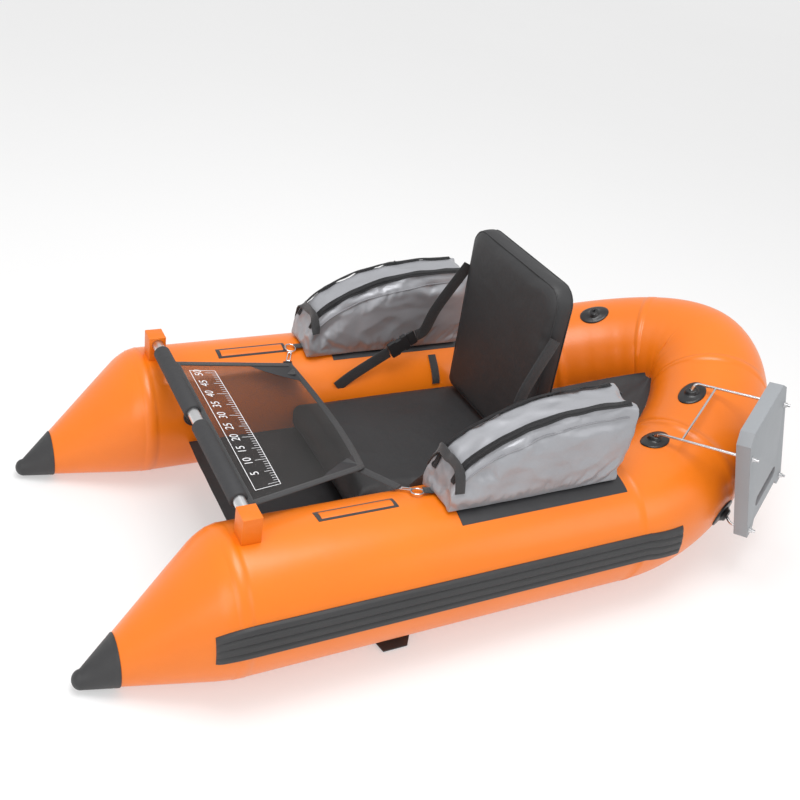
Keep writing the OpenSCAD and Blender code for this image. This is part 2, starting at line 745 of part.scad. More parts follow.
module plate_nuts() {
    color("silver") at_plate() for (x = stud_xs, z = [-plate_stud_z, -plate_h + plate_low_z]) {
        translate([x, -washer_t, z]) rotate([-90, 0, 0]) difference() {
            cylinder(r = rod_d, h = washer_t, $fn = 48);
            translate([0, 0, -1]) cylinder(r = rod_d / 2 + rod_clear, h = washer_t + 2, $fn = 48);
        }
        translate([x, -washer_t - nut_h, z]) rotate([-90, 0, 0]) difference() {
            cylinder(r = rod_d * 0.85, h = nut_h, $fn = 6);
            translate([0, 0, -1]) cylinder(r = rod_d / 2 + rod_clear, h = nut_h + 2, $fn = 48);
        }
    }
}
module port_lower_pads() {
    color(black) for (i = [0, 1]) {
        tube_band([for (k = [1, 0.5, 0, -0.5, -1]) low_s[i] + k * 5], low_a[i] - 9, low_a[i] + 9, pad_seat, pad_seat + pad_t, 4);
        on_surface(low_s[i], low_a[i], pad_seat + pad_t + gap) cylinder(r = boss_r, h = low_boss_h, $fn = 48);
    }
}

// ---------- Care label and loose strap tails
module care_label() {
    color("white") starboard() tube_band([-13, -16, -19, -22, -25], -72, -58, pad_seat, pad_seat + 0.6, 3);
}
tail_x = 212;
module strap_tails() {
    color(black) for (k = [-1, 1]) {
        p0 = on_tube(tail_x, -38, 4);
        p1 = on_tube(tail_x, -50, 4);
        p2 = on_tube(tail_x, -62, 3);
        webbing([for (p = [p0, p1, p2]) [p[0], k * p[1], p[2]]], 1.6, 25, [1, 0, 0]);
    }
}

// ---------- The origin is the middle of the whole box, on the ground
plate_axis_y = cos(plate_lean) * cos(plate_turn);
port_reach = plate_to_hull([plate_stud_x, -stud_out, -plate_h + plate_low_z])[1] + rod_d / 2 * sqrt(1 - pow(plate_axis_y, 2));
starboard_reach = max([for (k = [0 : strake_ribs * 4])
    on_tube(0, strake_top(0) + strake_span(0) * k / (strake_ribs * 4), gap + rib_height(k, strake_ribs * 4))[1]]);
stern_reach = max([for (p = tube_ring(-90, 0)) -p[0]]);
bow_reach = bow_x + cap_dome;
box_middle = [(bow_reach - stern_reach) / 2, (port_reach - starboard_reach) / 2, 0];
module place() {
    translate(-box_middle) children();
}

place() port_tube();
place() starboard_tube();
place() stern_baffle();
place() port_nose_cap();
place() starboard_nose_cap();
place() port_rub_strake();
place() starboard_rub_strake();
place() port_skeg();
place() starboard_skeg();
place() floor_sheet();
place() seat_cushion();
place() seat_valve();
place() backrest();
place() backrest_valve();
place() port_back_stay();
place() starboard_back_stay();
place() port_stay_buckle();
place() starboard_stay_buckle();
place() port_buckle_latch();
place() starboard_buckle_latch();
place() port_bar_socket();
place() starboard_bar_socket();
place() cross_bar();
place() bar_end_plugs();
place() port_foam_sleeve();
place() starboard_foam_sleeve();
place() apron_mesh();
place() apron_straps();
place() port_snap_hook();
place() starboard_snap_hook();
place() port_bag_base();
place() starboard_bag_base();
place() port_bag();
place() starboard_bag();
place() port_zip_sliders();
place() starboard_zip_sliders();
place() port_top_zip_pull();
place() starboard_top_zip_pull();
place() port_pocket_zip_pull();
place() starboard_pocket_zip_pull();
place() port_bag_ring();
place() starboard_bag_ring();
place() port_carry_handle();
place() starboard_carry_handle();
place() port_valve();
place() starboard_valve();
place() port_valve_cap();
place() starboard_valve_cap();
place() port_upper_pads();
place() starboard_upper_pads();
place() port_lower_pads();
place() upper_rod_frame();
place() lower_rods();
place() transom_plate();
place() plate_nuts();
place() care_label();
place() strap_tails();
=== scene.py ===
# %% [markdown]
# # An inflatable float boat
# One person sits in this U-shaped tube and paddles with swim fins. The hull, the soft seat, the bags
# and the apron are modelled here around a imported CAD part, which gives every place and size.

# %% The frame
import math

import bmesh
import bpy
from mathutils import Matrix, Vector, noise
from mathutils.bvhtree import BVHTree


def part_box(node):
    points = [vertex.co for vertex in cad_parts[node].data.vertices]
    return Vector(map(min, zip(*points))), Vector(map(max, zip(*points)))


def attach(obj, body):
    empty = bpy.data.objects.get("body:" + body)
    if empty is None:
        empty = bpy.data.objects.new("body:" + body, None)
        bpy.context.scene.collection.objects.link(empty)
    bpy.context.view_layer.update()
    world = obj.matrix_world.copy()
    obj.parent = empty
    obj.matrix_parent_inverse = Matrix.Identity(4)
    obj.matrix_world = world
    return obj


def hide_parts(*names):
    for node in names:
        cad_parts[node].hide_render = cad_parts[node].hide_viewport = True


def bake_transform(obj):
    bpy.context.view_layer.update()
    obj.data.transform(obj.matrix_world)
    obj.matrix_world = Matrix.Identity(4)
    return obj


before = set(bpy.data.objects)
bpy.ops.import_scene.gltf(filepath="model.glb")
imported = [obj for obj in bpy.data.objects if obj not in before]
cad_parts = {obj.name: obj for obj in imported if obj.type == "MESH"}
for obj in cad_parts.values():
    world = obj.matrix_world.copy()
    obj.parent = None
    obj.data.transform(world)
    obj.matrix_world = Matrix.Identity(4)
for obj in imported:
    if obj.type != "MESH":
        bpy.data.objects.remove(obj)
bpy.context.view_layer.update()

# %% [markdown]
# ## The boat's own measures
# The tube's path is a straight pontoon and a stern bend that rises, as a superellipse does. The
# measures are in metres ahead of the bend. The frame is centred on its box, so one shift, taken from
# the cross bar, brings a point from the boat's own measures into the frame.

# %% Measures
TUBE_R = 0.170
OFFSET = 0.386
STRAIGHT = 1.080
CONE = 0.285
TIP_R = 0.020
STERN = 0.573
RISE = 0.190
BEND_POWER = 2 / 1.75
RISE_POWER = 1.9
AXIS_H = TUBE_R * math.cos(math.pi / 32)
BOW = STRAIGHT + CONE
BOW_LIFT = 0.006
BAR_X, BAR_Z = 1.017, 0.385
SEAT_TOP = 0.250
SIDES = (("port", 1), ("starboard", -1))
bar_low, bar_high = (Vector(c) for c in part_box("cross_bar"))
SHIFT = (bar_low + bar_high) / 2 - Vector((BAR_X, 0, BAR_Z))
print("the boat's measures are shifted by", [round(c, 4) for c in SHIFT])

# %% [markdown]
# ## The camera, the light and the floor
# A camera matrix holds three directions: right, up and back. The light is a big soft box over the
# boat with a white room around it, so that the shadows stay pale.

# %% Camera
EYE = Vector((1.622, 1.862, 1.715))
LOOK = Vector((-0.4485, -0.7229, -0.5255)).normalized()
RIGHT = Vector((-0.8859, 0.4379, 0.1538)).normalized()


def set_camera():
    up = RIGHT.cross(LOOK)
    turn = Matrix((RIGHT, up, -LOOK)).transposed().to_4x4()
    lens = bpy.data.cameras.new("camera")
    lens.lens = 43.83
    lens.sensor_width = 36
    camera = bpy.data.objects.new("camera", lens)
    camera.matrix_world = Matrix.Translation(EYE + SHIFT) @ turn
    bpy.context.collection.objects.link(camera)
    bpy.context.scene.camera = camera


set_camera()


# %% Light and floor
def area_light(name, place, aim, size, watts, tint=(1, 1, 1)):
    light = bpy.data.lights.new(name, "AREA")
    light.size = size
    light.energy = watts
    light.color = tint
    lamp = bpy.data.objects.new(name, light)
    lamp.location = place
    lamp.rotation_euler = (Vector(aim) - Vector(place)).to_track_quat("-Z", "Y").to_euler()
    bpy.context.collection.objects.link(lamp)


def white_room(strength):
    world = bpy.data.worlds.new("room")
    world.use_nodes = True
    world.node_tree.nodes["Background"].inputs[0].default_value = (1, 1, 1, 1)
    world.node_tree.nodes["Background"].inputs[1].default_value = strength
    bpy.context.scene.world = world


white_room(0.72)
area_light("top box", (0.5, 0.4, 3.4), (0, 0, 0.2), 1.8, 66)
area_light("bow box", (3.2, 1.8, 1.9), (0.3, 0.1, 0.3), 1.5, 20)
area_light("stern box", (-2.2, 2.6, 2.2), (-0.3, 0.1, 0.3), 1.4, 12)
bpy.context.scene.view_settings.view_transform = "Standard"

# %% [markdown]
# ## How a skin is drawn out
# Most pieces are a ring of points that is drawn out along a path: each step extrudes the ring's
# edges and puts the new points on the next ring. The UV map counts metres along and around, so a
# weave keeps its real scale on every strap.


# %% Drawing out a ring
def draw_out(rings, closed=True, capped=True):
    bm = bmesh.new()
    uv = bm.loops.layers.uv.new("metres")
    spot = {}
    row = [bm.verts.new(p) for p in rings[0]]
    ends = row[1:] + row[:1] if closed else row[1:]
    edges = [bm.edges.new(pair) for pair in zip(row, ends)]
    if capped:
        bm.faces.new(row)
    along = 0.0
    lengths = [along]
    for i, ring in enumerate(rings):
        around = 0.0
        if i:
            along += sum((Vector(a) - Vector(b)).length for a, b in zip(ring, rings[i - 1])) / len(ring)
            lengths.append(along)
            index = {tuple(v.co): k for k, v in enumerate(row)}
            drawn = bmesh.ops.extrude_edge_only(bm, edges=edges)["geom"]
            edges = [g for g in drawn if isinstance(g, bmesh.types.BMEdge)]
            fresh = [g for g in drawn if isinstance(g, bmesh.types.BMVert)]
            row = sorted(fresh, key=lambda v: index[tuple(v.co)])
        for k, v in enumerate(row):
            v.co = ring[k]
            if k:
                around += (Vector(ring[k]) - Vector(ring[k - 1])).length
            spot[v] = (i, k, around)
    if capped:
        bm.faces.new(row)
    last = len(rings[0]) - 1
    for face in bm.faces:
        wraps = {0, last} <= {spot[v][1] for v in face.verts} and last > 1 and len(face.verts) == 4
        for loop in face.loops:
            i, k, around = spot[loop.vert]
            if wraps and k == 0:
                around = spot[max(face.verts, key=lambda v: spot[v][1])][2] + 0.001
            loop[uv].uv = (lengths[i], around)
    bmesh.ops.recalc_face_normals(bm, faces=bm.faces)
    return bm


def made(name, bm, body, material, nodes=(), sharp=50):
    bmesh.ops.translate(bm, verts=bm.verts, vec=SHIFT)
    mesh = bpy.data.meshes.new(name)
    bm.to_mesh(mesh)
    bm.free()
    mesh.polygons.foreach_set("use_smooth", [True] * len(mesh.polygons))
    mesh.set_sharp_from_angle(angle=math.radians(sharp))
    piece = bpy.data.objects.new(name, mesh)
    bpy.context.collection.objects.link(piece)
    mesh.materials.append(material)
    if body:
        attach(piece, body)
    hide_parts(*nodes)
    return piece


def flipped(rings, side, ahead=0.0):
    if side > 0:
        return rings
    return [[Vector((p[0] + ahead, -p[1], p[2])) for p in ring] for ring in rings]


# %% [markdown]
# A strap or a rod follows a smooth line through a few chosen points. A Catmull-Rom curve passes
# through all of them, and a section is then set square to it.


# %% Lines, straps and rods
def smooth_line(points, steps=8):
    pts = [Vector(p) for p in points]
    pts = [2 * pts[0] - pts[1]] + pts + [2 * pts[-1] - pts[-2]]
    line = []
    for a, b, c, d in zip(pts, pts[1:], pts[2:], pts[3:]):
        for k in range(steps):
            t = k / steps
            line.append(0.5 * (2 * b + (c - a) * t + (2 * a - 5 * b + 4 * c - d) * t * t
                               + (3 * b - a - 3 * c + d) * t ** 3))
    return line + [pts[-2]]


def headings(line):
    ahead = line[1:] + line[-1:]
    behind = line[:1] + line[:-1]
    return [(a - b).normalized() for a, b in zip(ahead, behind)]


def strap_rings(line, width, thick, faces_to):
    rings = []
    for i, (p, way) in enumerate(zip(line, headings(line))):
        up = Vector(faces_to[i] if isinstance(faces_to, list) else faces_to)
        across = up.cross(way).normalized()
        up = way.cross(across).normalized()
        w, t = width / 2, thick / 2
        edge = t * 0.6
        rings.append([p + across * x + up * y for x, y in (
            (-w, -t + edge), (-w + edge, -t), (-w / 3, -t), (w / 3, -t), (w - edge, -t), (w, -t + edge),
            (w, t - edge), (w - edge, t), (w / 3, t), (-w / 3, t), (-w + edge, t), (-w, t - edge))])
    return rings


def rod_rings(line, radius, sides=20):
    up = Vector((0.13, 0.21, 0.97))
    rings = []
    for p, way in zip(line, headings(line)):
        across = up.cross(way).normalized()
        up = way.cross(across).normalized()
        rings.append([p + radius * (math.cos(a) * across + math.sin(a) * up)
                      for a in (2 * math.pi * k / sides for k in range(sides))])
    return rings


def filleted(points, radius, steps=7):
    line = [Vector(points[0])]
    for a, b, c in zip(points, points[1:], points[2:]):
        a, b, c = Vector(a), Vector(b), Vector(c)
        reach = min(radius, (a - b).length * 0.45, (c - b).length * 0.45)
        start, end = b + (a - b).normalized() * reach, b + (c - b).normalized() * reach
        line += [start.lerp(b, t).lerp(b.lerp(end, t), t) for t in (k / steps for k in range(steps + 1))]
    return line + [Vector(points[-1])]


# %% [markdown]
# ## The tube's path
# A place on the tube is a distance ahead of the bend, or an angle round the stern when it is
# negative, an angle down from the top towards the outside, and a height over the skin.


# %% Places on the tube
def signed_pow(v, power):
    return math.copysign(abs(v) ** power, v)


def bend_point(degrees):
    s, c = math.sin(math.radians(degrees)), math.cos(math.radians(degrees))
    return Vector((-STERN * signed_pow(s, BEND_POWER), OFFSET * signed_pow(c, BEND_POWER),
                   AXIS_H + RISE * abs(s) ** (BEND_POWER * RISE_POWER)))


def tube_rad(s):
    cone = TUBE_R + (TIP_R - TUBE_R) * (s - STRAIGHT) / CONE
    soft = max(0.02 - abs(cone - TUBE_R), 0) / 0.02
    return min(cone, TUBE_R) - soft * soft * 0.02 / 4


def tube_point(s):
    if s < 0:
        return bend_point(-s)
    return Vector((s, OFFSET, tube_rad(s) * math.cos(math.pi / 32) + BOW_LIFT * max(0, s - STRAIGHT) / CONE))


def tube_dir(s):
    return Vector((-1, 0, 0)) if s >= 0 else (bend_point(-s + 0.5) - bend_point(-s - 0.5)).normalized()


def on_tube(s, a, off=0.0):
    out = tube_dir(s).cross(Vector((0, 0, 1))).normalized()
    up = out.cross(tube_dir(s))
    a = math.radians(a)
    return tube_point(s) + (tube_rad(s) + off) * (math.sin(a) * out + math.cos(a) * up)


def outward(s, a):
    return (on_tube(s, a, 0.01) - on_tube(s, a)).normalized()


def near_on_tube(s, a, along, around, off):
    per_degree = (bend_point(-s + 0.5) - bend_point(-s - 0.5)).length
    step = along / per_degree if s < 0 else -along
    return on_tube(s - step, a + math.degrees(around / TUBE_R), off)


def spaced(a, b, n):
    return [a + (b - a) * k / n for k in range(n + 1)]


def band_rings(stations, a0, a1, profile):
    n = len(profile) - 1
    return [[on_tube(s, a0 + (a1 - a0) * k / n, h) for k, h in enumerate(profile)]
            + [on_tube(s, a0 + (a1 - a0) * k / n, 0.0) for k in range(n, -1, -1)] for s in stations]


# %% [markdown]
# ## Finishes
# Small effects that many finishes share are node groups: a cloud that varies a colour, a fine grain
# and a weave. The numbers on each finish are what makes it rubber, nylon or steel.


# %% Node helpers
class Finish:
    """One material under construction, with a Principled shader at its end."""

    def __init__(self, name, **values):
        self.material = bpy.data.materials.new(name)
        self.material.use_nodes = True
        self.tree = self.material.node_tree
        self.shader = self.tree.nodes["Principled BSDF"]
        for key, value in values.items():
            self.shader.inputs[key.replace("_", " ")].default_value = value

    def add(self, kind, settings=None, **values):
        return add_node(self.tree, kind, settings, **values)

    def to(self, output, socket):
        self.tree.links.new(output, self.shader.inputs[socket])

    def group(self, tree, **values):
        node = self.tree.nodes.new("ShaderNodeGroup")
        node.node_tree = tree
        wire(self.tree, node, values)
        return node


def wire(tree, node, values):
    for key, value in values.items():
        socket = node.inputs[key.replace("_", " ")]
        if isinstance(value, bpy.types.NodeSocket):
            tree.links.new(value, socket)
        else:
            socket.default_value = value


def add_node(tree, kind, settings=None, **values):
    node = tree.nodes.new("ShaderNode" + kind)
    for key, value in (settings or {}).items():
        setattr(node, key, value)
    wire(tree, node, values)
    return node


def new_group(name, inputs, outputs):
    tree = bpy.data.node_groups.new(name, "ShaderNodeTree")
    for label, value in inputs:
        kind = {float: "NodeSocketFloat", tuple: "NodeSocketColor", str: "NodeSocketVector"}[type(value)]
        socket = tree.interface.new_socket(label, in_out="INPUT", socket_type=kind)
        if kind != "NodeSocketVector":
            socket.default_value = value
    for label, kind in outputs:
        tree.interface.new_socket(label, in_out="OUTPUT", socket_type=kind)
    return tree, tree.nodes.new("NodeGroupInput").outputs, tree.nodes.new("NodeGroupOutput").inputs


def arithmetic(tree, operation, a, b=0.0):
    node = tree.nodes.new("ShaderNodeMath")
    node.operation = operation
    for socket, value in zip(node.inputs, (a, b)):
        if isinstance(value, bpy.types.NodeSocket):
            tree.links.new(value, socket)
        else:
            socket.default_value = value
    return node.outputs[0]


def mixed_colour(tree, mask, a, b):
    node = tree.nodes.new("ShaderNodeMix")
    node.data_type = "RGBA"
    for socket, value in zip((node.inputs[0], node.inputs[6], node.inputs[7]), (mask, a, b)):
        if isinstance(value, bpy.types.NodeSocket):
            tree.links.new(value, socket)
        else:
            socket.default_value = value
    return node.outputs[2]


# %% The cloud group: large soft patches and fine specks, as dust and handling leave
def cloud_group():
    tree, given, out = new_group("cloud", [("Vector", ""), ("Scale", 4.0), ("Amount", 0.5), ("Specks", 0.2)],
                                 [("Mask", "NodeSocketFloat")])
    big = add_node(tree, "TexNoise", Vector=given["Vector"], Scale=given["Scale"], Detail=5.0, Roughness=0.55)
    fine_scale = arithmetic(tree, "MULTIPLY", given["Scale"], 23.0)
    fine = add_node(tree, "TexNoise", Vector=given["Vector"], Scale=fine_scale, Detail=2.0)
    patches = arithmetic(tree, "MULTIPLY", big.outputs[0], given["Amount"])
    specks = arithmetic(tree, "MULTIPLY", fine.outputs[0], given["Specks"])
    tree.links.new(arithmetic(tree, "ADD", patches, specks), out["Mask"])
    return tree


CLOUD = cloud_group()


# %% The grain group: the small relief of rubber, moulded plastic or coated cloth
def grain_group():
    tree, given, out = new_group("grain", [("Vector", ""), ("Scale", 900.0), ("Depth", 0.3), ("Waves", 12.0),
                                           ("Wave depth", 0.1)], [("Normal", "NodeSocketVector")])
    fine = add_node(tree, "TexNoise", Vector=given["Vector"], Scale=given["Scale"], Detail=3.0)
    broad = add_node(tree, "TexNoise", Vector=given["Vector"], Scale=given["Waves"], Detail=3.0)
    inner = add_node(tree, "Bump", Height=broad.outputs[0], Strength=given["Wave depth"], Distance=0.02)
    bump = add_node(tree, "Bump", Height=fine.outputs[0], Strength=given["Depth"], Distance=0.0006,
                    Normal=inner.outputs[0])
    tree.links.new(bump.outputs[0], out["Normal"])
    return tree


GRAIN = grain_group()


# %% The weave group: warp and weft from two crossed waves on the UV map
def weave_group():
    tree, given, out = new_group("weave", [("Pitch", 0.0012), ("Depth", 0.5)],
                                 [("Threads", "NodeSocketFloat"), ("Normal", "NodeSocketVector")])
    uv = add_node(tree, "UVMap", {"uv_map": "metres"})
    parts = add_node(tree, "SeparateXYZ", Vector=uv.outputs[0])
    turns = [arithmetic(tree, "DIVIDE", parts.outputs[k], given["Pitch"]) for k in (0, 1)]
    waves = [arithmetic(tree, "SINE", arithmetic(tree, "MULTIPLY", t, math.tau)) for t in turns]
    product = arithmetic(tree, "MULTIPLY", waves[0], waves[1])
    threads = arithmetic(tree, "ADD", arithmetic(tree, "MULTIPLY", product, 0.5), 0.5)
    bump = add_node(tree, "Bump", Height=threads, Strength=given["Depth"], Distance=0.0005)
    tree.links.new(threads, out["Threads"])
    tree.links.new(bump.outputs[0], out["Normal"])
    return tree


WEAVE = weave_group()


# %% [markdown]
# One function makes every coated, rubber or plastic finish: a colour that a cloud pulls towards a
# second colour, a roughness that the same cloud moves, and a grain.


# %% A coated or moulded finish
def skin_finish(name, colour, shade, rough, rough_range, grain, scale=4.0, amount=0.9, specks=0.15, **values):
    finish = Finish(name, **values)
    where = finish.add("TexCoord").outputs["Object"]
    cloud = finish.group(CLOUD, Vector=where, Scale=scale, Amount=amount, Specks=specks).outputs[0]
    finish.to(mixed_colour(finish.tree, cloud, (*colour, 1), (*shade, 1)), "Base Color")
    span = finish.add("MapRange", Value=cloud, To_Min=rough, To_Max=rough + rough_range)
    finish.to(span.outputs[0], "Roughness")
    size, depth, waves, wave_depth = grain
    relief = finish.group(GRAIN, Vector=where, Scale=size, Depth=depth, Waves=waves, Wave_depth=wave_depth)
    finish.to(relief.outputs[0], "Normal")
    return finish.material


def cloth_finish(name, colour, shade, rough, pitch, depth, **values):
    finish = Finish(name, Roughness=rough, **values)
    weave = finish.group(WEAVE, Pitch=pitch, Depth=depth)
    where = finish.add("TexCoord").outputs["Object"]
    cloud = finish.group(CLOUD, Vector=where, Scale=9.0, Amount=0.6, Specks=0.3).outputs[0]
    mask = arithmetic(finish.tree, "MULTIPLY", weave.outputs[0], cloud)
    finish.to(mixed_colour(finish.tree, mask, (*colour, 1), (*shade, 1)), "Base Color")
    finish.to(weave.outputs[1], "Normal")
    return finish.material


# %% The finishes themselves
ORANGE = skin_finish("orange coated fabric", (0.92, 0.215, 0.004), (0.80, 0.170, 0.003), 0.30, 0.14,
                     (1400.0, 0.10, 7.0, 0.10), Coat_Weight=0.18, Coat_Roughness=0.22)
ORANGE_TRIM = skin_finish("orange trim", (0.90, 0.205, 0.004), (0.72, 0.150, 0.003), 0.36, 0.14,
                          (1400.0, 0.16, 30.0, 0.12))
RUBBER = skin_finish("black rubber", (0.020, 0.020, 0.021), (0.050, 0.050, 0.052), 0.44, 0.2,
                     (1100.0, 0.25, 30.0, 0.10))
GLOSS_RUBBER = skin_finish("glossy rubber", (0.010, 0.010, 0.011), (0.028, 0.028, 0.03), 0.22, 0.16,
                           (1300.0, 0.12, 40.0, 0.10))
FLOOR_CLOTH = skin_finish("floor fabric", (0.022, 0.022, 0.024), (0.045, 0.045, 0.048), 0.40, 0.2,
                          (1200.0, 0.25, 9.0, 0.3))
SEAT_CLOTH = skin_finish("seat fabric", (0.020, 0.020, 0.021), (0.038, 0.038, 0.040), 0.46, 0.16,
                         (1500.0, 0.35, 14.0, 0.16))
FOAM = skin_finish("closed cell foam", (0.022, 0.022, 0.024), (0.055, 0.055, 0.058), 0.62, 0.2,
                   (700.0, 0.55, 40.0, 0.12))
BLACK_PLASTIC = skin_finish("moulded black plastic", (0.014, 0.014, 0.015), (0.035, 0.035, 0.037), 0.34, 0.2,
                            (1600.0, 0.25, 40.0, 0.06))
GREY_PLASTIC = skin_finish("moulded grey plastic", (0.34, 0.355, 0.375), (0.27, 0.285, 0.30), 0.42, 0.16,
                           (1300.0, 0.30, 20.0, 0.06))
WHITE_PRINT = skin_finish("white film", (0.86, 0.86, 0.87), (0.78, 0.78, 0.80), 0.34, 0.12,
                          (1200.0, 0.08, 20.0, 0.05))
WEBBING = cloth_finish("woven webbing", (0.010, 0.010, 0.011), (0.075, 0.075, 0.08), 0.62, 0.0022, 0.8,
                       Sheen_Weight=0.25)
print("materials so far:", len(bpy.data.materials))


# %% [markdown]
# Metals are brushed or polished. Brushing is noise that is stretched along the tube, so that it
# shows as fine lines; steel wire has only faint marks.


# %% Metals
def metal_finish(name, colour, rough, stretch, scratch):
    finish = Finish(name, Metallic=1.0)
    where = finish.add("TexCoord").outputs["Object"]
    lines = finish.add("Mapping", Vector=where, Scale=stretch)
    marks = finish.add("TexNoise", Vector=lines.outputs[0], Scale=60.0, Detail=6.0, Roughness=0.7)
    darker = tuple(c * 0.82 for c in colour)
    finish.to(mixed_colour(finish.tree, marks.outputs[0], (*colour, 1), (*darker, 1)), "Base Color")
    span = finish.add("MapRange", Value=marks.outputs[0], To_Min=rough, To_Max=rough + 0.22)
    finish.to(span.outputs[0], "Roughness")
    bump = finish.add("Bump", Height=marks.outputs[0], Strength=scratch, Distance=0.0004)
    finish.to(bump.outputs[0], "Normal")
    return finish.material


ALUMINIUM = metal_finish("brushed aluminium", (0.80, 0.80, 0.81), 0.22, (1.0, 14.0, 14.0), 0.25)
STEEL = metal_finish("stainless steel", (0.74, 0.74, 0.75), 0.12, (3.0, 3.0, 3.0), 0.12)
COPPER = metal_finish("copper sleeve", (0.72, 0.36, 0.20), 0.25, (5.0, 5.0, 5.0), 0.2)


# %% [markdown]
# The bags are silver-coated nylon: the coat is a weak metal film, so it lights up and darkens with
# each fold. Its ripstop threads are squares of a few millimetres.


# %% Coated nylon
def nylon_finish():
    finish = Finish("silver coated nylon", Metallic=0.35, Sheen_Weight=0.1)
    where = finish.add("TexCoord").outputs["Object"]
    cloud = finish.group(CLOUD, Vector=where, Scale=7.0, Amount=0.8, Specks=0.25).outputs[0]
    finish.to(mixed_colour(finish.tree, cloud, (0.41, 0.415, 0.44, 1), (0.31, 0.315, 0.335, 1)), "Base Color")
    span = finish.add("MapRange", Value=cloud, To_Min=0.34, To_Max=0.52)
    finish.to(span.outputs[0], "Roughness")
    folds = finish.add("Mapping", Vector=where, Scale=(1.0, 1.6, 0.8), Rotation=(0.3, 0.5, 0.4))
    creases = finish.add("TexNoise", {"noise_type": "RIDGED_MULTIFRACTAL"}, Vector=folds.outputs[0], Scale=9.0,
                         Detail=4.0, Roughness=0.5)
    threads = finish.add("TexChecker", Vector=where, Scale=420.0)
    fold_bump = finish.add("Bump", Height=creases.outputs[0], Strength=0.22, Distance=0.006)
    bump = finish.add("Bump", Height=threads.outputs[1], Strength=0.12, Distance=0.0004,
                      Normal=fold_bump.outputs[0])
    finish.to(bump.outputs[0], "Normal")
    return finish.material


NYLON = nylon_finish()


# %% [markdown]
# The apron is an open net. Its holes are left out with alpha on the UV map: two sets of fine
# threads cross, and what lies between them is mostly clear.


# %% Net
def net_finish():
    finish = Finish("open net", Roughness=0.7)
    uv = finish.add("UVMap", {"uv_map": "metres"})
    parts = finish.add("SeparateXYZ", Vector=uv.outputs[0])
    thread = []
    for k in (0, 1):
        turn = arithmetic(finish.tree, "DIVIDE", parts.outputs[k], 0.0024)
        wave = arithmetic(finish.tree, "SINE", arithmetic(finish.tree, "MULTIPLY", turn, math.tau))
        thread.append(arithmetic(finish.tree, "GREATER_THAN", wave, 0.30))
    both = arithmetic(finish.tree, "MAXIMUM", thread[0], thread[1])
    finish.to(arithmetic(finish.tree, "ADD", arithmetic(finish.tree, "MULTIPLY", both, 0.86), 0.06), "Alpha")
    where = finish.add("TexCoord").outputs["Object"]
    cloud = finish.group(CLOUD, Vector=where, Scale=6.0, Amount=0.8, Specks=0.2).outputs[0]
    finish.to(mixed_colour(finish.tree, cloud, (0.014, 0.014, 0.015, 1), (0.05, 0.048, 0.046, 1)), "Base Color")
    return finish.material


NET = net_finish()

# %% [markdown]
# ## The hull
# Each half is one skin drawn out along the path, with narrow tapes where panels are glued. Round
# the inside of the bend the fabric has more cloth than room, so it puckers a little.

# %% Tube
SEAMS = (1.062, 0.0, -33.0, -66.0)


def seam_stations(s):
    wide = 0.012 if s >= 0 else 1.1
    edge = wide * 0.08
    return [(s + wide + edge, 0.0), (s + wide, 1.0), (s - wide, 1.0), (s - wide - edge, 0.0)]


def hull_stations():
    plain = [(s, 0.0) for s in spaced(BOW - 0.004, STRAIGHT + 0.03, 6) + spaced(STRAIGHT + 0.02, 1.0, 10)
             + spaced(0.96, 0.04, 16) + [-a for a in spaced(2, 90, 44)]]
    taped = [pair for s in SEAMS for pair in seam_stations(s)]
    kept = [p for p in plain if all(abs(p[0] - s) > (0.014 if s >= 0 else 1.3) for s in SEAMS)]
    return sorted(kept + taped, key=lambda pair: -pair[0])


def pucker(s, a):
    inside = max(0.0, -math.sin(math.radians(a))) ** 3
    if s >= 0:
        return 0.0
    return -0.0022 * inside * (0.5 + 0.5 * math.cos(math.tau * s / 7.3)) ** 5


def tube_rings():
    rings = []
    for s, tape in hull_stations():
        angles = [360 * (k + 0.5) / 96 for k in range(96)]
        rings.append([on_tube(s, a, 0.0008 * tape + pucker(s, a)) for a in angles])
    return rings


for side, k in SIDES:
    made(side + "_hull_half", draw_out(flipped(tube_rings(), k)), "hull", ORANGE,
         (side + "_tube",), 60)
print("seam tapes on each half:", len(SEAMS))


# %% [markdown]
# The rubber cap is a sleeve over the cone with a rounded end. The strake is a ribbed moulding: a
# row of soft ribs, with bevelled ends, glued on the outer side.


# %% Nose caps and strakes
def cap_rings():
    tip, wall, dome, length = BOW, 0.0026, 0.020, 0.072
    rings = [[on_tube(tip - length - 0.0004, a, 0.0) for a in spaced(0, 352.5, 47)]]
    for s, lift in ((0.0, 0.6), (0.0015, 1.0), (0.010, 1.05), (0.012, 0.75), (0.014, 1.0), (0.04, 1.0)):
        rings.append([on_tube(tip - length + s, a, wall * lift) for a in spaced(0, 352.5, 47)])
    centre = tube_point(tip)
    for turn in spaced(0, 84, 8):
        t = math.radians(turn)
        ring = [on_tube(tip, a, wall) - centre for a in spaced(0, 352.5, 47)]
        rings.append([centre + p * math.cos(t) + Vector((dome * math.sin(t), 0, 0)) for p in ring])
    return rings


def rib(t):
    wave = abs(math.sin(math.pi * 4 * t))
    return 0.0042 + 0.0038 * min(1.0, wave * 1.5) ** 1.4


